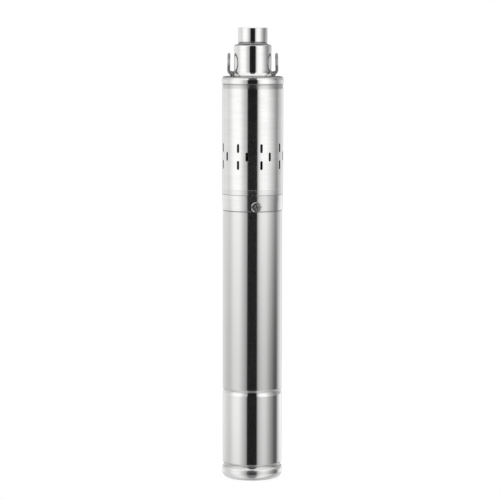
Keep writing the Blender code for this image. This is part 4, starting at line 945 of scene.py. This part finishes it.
def make_screw():
    """Single-start screw: a circle wound up round the screw's own axis, with a neck for the shaft."""
    low = STATOR_BOTTOM - 2.5 * MM
    length = SCREW_TOP - low
    start = 2 * math.pi * (low - STATOR_BOTTOM) / SCREW_PITCH
    bpy.ops.mesh.primitive_circle_add(
        vertices=64, radius=SCREW_SECTION, fill_type="NGON",
        location=(ECCENTRICITY * math.cos(start), ECCENTRICITY * math.sin(start), low),
    )
    screw = bpy.context.object
    settle()
    turns = length / SCREW_PITCH
    apply_modifier(
        screw, "SCREW", axis="Z", angle=2 * math.pi * turns, screw_offset=length, iterations=1, steps=180,
        render_steps=180, use_merge_vertices=False, use_smooth_shade=True,
    )
    close_and_name(screw, "pump_screw")
    bore, neck_bottom, neck_top = 4.8 * MM, low - 10.0 * MM, low + 1.2 * MM
    neck = spin("screw_neck", [
        (bore, neck_bottom), (8.0 * MM, neck_bottom), (6.5 * MM, neck_top), (bore, neck_top),
    ], 64)
    join_or_cut(screw, neck, "UNION")
    smooth(screw)
    place(screw, (ECCENTRICITY, 0, 0))
    dress(screw, POLISHED, "screw", ["screw_rotor"])


def make_stator():
    """Rubber with a twisted slot-shaped hole, bonded in a steel sleeve."""
    clear = SCREW_SECTION + GAP
    rubber_radius = 23.0 * MM
    turns = STATOR_LENGTH / (2 * SCREW_PITCH)
    section = bend((2 * ECCENTRICITY, 0), clear, -90, 90, 24) + bend((-2 * ECCENTRICITY, 0), clear, 90, 270, 24)
    draw([(x, y, STATOR_BOTTOM) for x, y in section])
    select_all()
    bpy.ops.mesh.edge_face_add()
    bpy.ops.object.mode_set(mode="OBJECT")
    hole = bpy.context.object
    apply_modifier(
        hole, "SCREW", axis="Z", angle=2 * math.pi * turns, screw_offset=STATOR_LENGTH, iterations=1, steps=160,
        render_steps=160, use_merge_vertices=False,
    )
    close_and_name(hole, "screw_hole")
    # A hair longer than the rubber at both ends, so that the cut leaves no skin there.
    longer = 0.0002
    hole.scale = (1, 1, 1 + longer)
    hole.location.z = -longer * (STATOR_TOP + STATOR_BOTTOM) / 2
    settle()
    bpy.ops.mesh.primitive_cylinder_add(
        vertices=96, radius=rubber_radius, depth=STATOR_LENGTH, location=(0, 0, (STATOR_TOP + STATOR_BOTTOM) / 2),
    )
    rubber = bpy.context.object
    settle()
    join_or_cut(rubber, hole, "DIFFERENCE")
    rename(rubber, "pump_rubber")
    smooth(rubber)
    dress(rubber, RUBBER, instead_of=["stator_rubber"])
    edge = 0.3 * MM
    inner, outer = rubber_radius + GAP, 26.0 * MM
    sleeve = spin("pump_sleeve", [
        (inner, STATOR_BOTTOM), (outer - edge, STATOR_BOTTOM), (outer, STATOR_BOTTOM + edge),
        (outer, STATOR_TOP - edge), (outer - edge, STATOR_TOP), (inner, STATOR_TOP),
    ], 96)
    smooth(sleeve)
    dress(sleeve, GROUND_STEEL, instead_of=["stator_tube"])


make_cap()
make_motor_tube()
make_band()
make_band_screws()
make_casing()
make_head()
make_thread()
make_lifting_ring(-1, "wire_ring_left")
make_lifting_ring(1, "wire_ring_right")
make_gland()
make_screw()
make_stator()


# Studio

BRIGHTEST = 1.2


def around(*levels):
    """Ramp stops from levels of light at directions round the pump, in degrees to the right of the front."""
    return [((angle + 180) / 360, level / BRIGHTEST) for angle, level in levels]


def make_air():
    """White for the camera. Light and reflections come from a studio round the pump.

    It has a tall soft box on each side that is dimmer at its foot, a dark gap between them at the camera that
    runs up into the ceiling, a dim corner on the right, a bright ceiling and a grey ground. Directions are in
    degrees, round from the front and up or down from level.
    """
    world = bpy.data.worlds.new("studio")
    bpy.context.scene.world = world
    world.use_nodes = True
    air = Recipe(world.node_tree)
    way = air.node("ShaderNodeTexCoord", output="Generated")
    x, y, z = [air.node("ShaderNodeSeparateXYZ", None, {0: way}, axis) for axis in "XYZ"]
    heading = air.node("ShaderNodeMath", {"operation": "ARCTAN2"}, {0: x, 1: -y}) * (180 / math.pi)
    rise = air.node("ShaderNodeMath", {"operation": "ARCSINE"}, {0: z}) * (180 / math.pi)
    walls = air.node("ShaderNodeValToRGB", {"stops": around(
        (-180, 0.20), (-171, 0.20), (-164, 0.95), (-137, 0.84), (-119, 0.91), (-104, 0.80), (-92, 0.88), (-81, 1.10),
        (-70, 1.19), (-54, 1.19), (-46, 1.10), (-38, 0.86), (-29, 0.63), (-21.5, 0.53), (-17.5, 0.012), (16.8, 0.012),
        (21, 0.64), (29, 1.05), (38, 1.19), (55, 1.19), (65, 1.03), (74, 0.87), (84, 0.68), (94, 0.48), (104, 0.33),
        (118, 0.57), (137, 0.76), (160, 0.99), (171, 0.20), (180, 0.20),
    )}, {"Fac": heading / 360.0 + 0.5}) * BRIGHTEST
    feet = air.node("ShaderNodeValToRGB", {"stops": around(
        (-180, 0.20), (-171, 0.20), (-160, 1.00), (-128, 0.82), (-105, 0.72), (-94, 0.76), (-78, 0.97), (-66, 1.01),
        (-54, 1.00), (-38, 0.68), (-23, 0.40), (-19.2, 0.012), (17.3, 0.012), (20.5, 0.42), (29, 0.65), (40, 0.77),
        (50, 0.78), (60, 0.66), (70, 0.47), (85, 0.27), (97, 0.12), (110, 0.12), (123, 0.69), (140, 1.02),
        (160, 1.12), (171, 0.20), (180, 0.20),
    )}, {"Fac": heading / 360.0 + 0.5}) * BRIGHTEST
    down = -rise
    near_top = 1.0 - down.between(0.8, 1.8)
    right_end = heading.between(50.0, 85.0) * near_top * 0.30
    left_end = (-heading).between(85.0, 120.0) * rise.between(2.0, 8.0) * 0.22
    level = walls * (1.0 - right_end - left_end)
    level = mixed(level, feet, down.between(2.5, 9.0))
    level = mixed(level, 0.20 + 0.60 * walls, down.between(11.0, 17.0))
    level = mixed(level, 0.45, down.between(55.0, 85.0))
    gap = 1.0 - abs(heading).between(14.0, 21.0)
    level = mixed(level, 0.09, gap * rise.between(28.0, 40.0))
    level = mixed(level, 1.10, rise.between(24.0 + gap * 30.0, 44.0 + gap * 28.0))
    seen = air.node("ShaderNodeLightPath", output="Is Camera Ray")
    clear = air.node("ShaderNodeLightPath", output="Is Transmission Ray")
    plain = air.node("ShaderNodeMath", {"operation": "MAXIMUM"}, {0: seen, 1: clear})
    strength = mixed(level, 1.0, plain)
    background = air.node("ShaderNodeBackground", None, {"Color": (1, 1, 1, 1), "Strength": strength})
    air.node("ShaderNodeOutputWorld", None, {"Surface": background})


def make_floor():
    """White floor that keeps the pump's soft shadow, and that reflections look past."""
    bpy.ops.object.select_all(action="DESELECT")
    bpy.ops.mesh.primitive_circle_add(vertices=96, radius=4.0, fill_type="NGON", location=(0, 0, -0.2 * MM))
    floor = bpy.context.object
    settle()
    floor.name = "studio_floor"
    material = bpy.data.materials.new("studio floor")
    material.use_nodes = True
    paint = Recipe(material.node_tree)
    white = paint.node("ShaderNodeEmission", None, {"Color": (1, 1, 1, 1), "Strength": 1.0})
    soft = paint.node("ShaderNodeEmission", None, {"Color": (1, 1, 1, 1), "Strength": 0.88})
    matt = paint.node("ShaderNodeBsdfDiffuse", None, {"Color": (0.16, 0.16, 0.16, 1)})
    near = paint.node("ShaderNodeAddShader", None, {0: soft, 1: matt})
    at = paint.node("ShaderNodeTexCoord", output="Object")
    away = paint.node("ShaderNodeVectorMath", {"operation": "LENGTH"}, {0: at}, "Value")
    look = paint.node("ShaderNodeMixShader", None, {"Fac": away.between(0.08, 0.30), 1: near, 2: white})
    clear = paint.node("ShaderNodeBsdfTransparent")
    mirrored = paint.node("ShaderNodeLightPath", output="Is Glossy Ray")
    shadowed = paint.node("ShaderNodeLightPath", output="Is Shadow Ray")
    through = paint.node("ShaderNodeMath", {"operation": "MAXIMUM"}, {0: mirrored, 1: shadowed})
    whole = paint.node("ShaderNodeMixShader", None, {"Fac": through, 1: look, 2: clear})
    paint.node("ShaderNodeOutputMaterial", None, {"Surface": whole})
    floor.data.materials.append(material)


def make_camera():
    """Long lens at the height of the pump's top, looking slightly down."""
    eye = Vector((0.0, -4.0, 0.750))
    aim = Vector((-0.0038, 0.0, 0.3621))
    bpy.ops.object.camera_add(location=eye)
    camera = bpy.context.object
    camera.data.sensor_width = 36.0
    camera.data.lens = 183.1
    camera.data.clip_end = 50.0
    facing = (aim - eye).to_track_quat("-Z", "Y")
    camera.rotation_mode = "QUATERNION"
    camera.rotation_quaternion = facing @ Matrix.Rotation(math.radians(0.1), 3, "Z").to_quaternion()
    bpy.context.scene.camera = camera


make_air()
make_floor()
make_camera()
bpy.context.scene.view_settings.view_transform = "Standard"
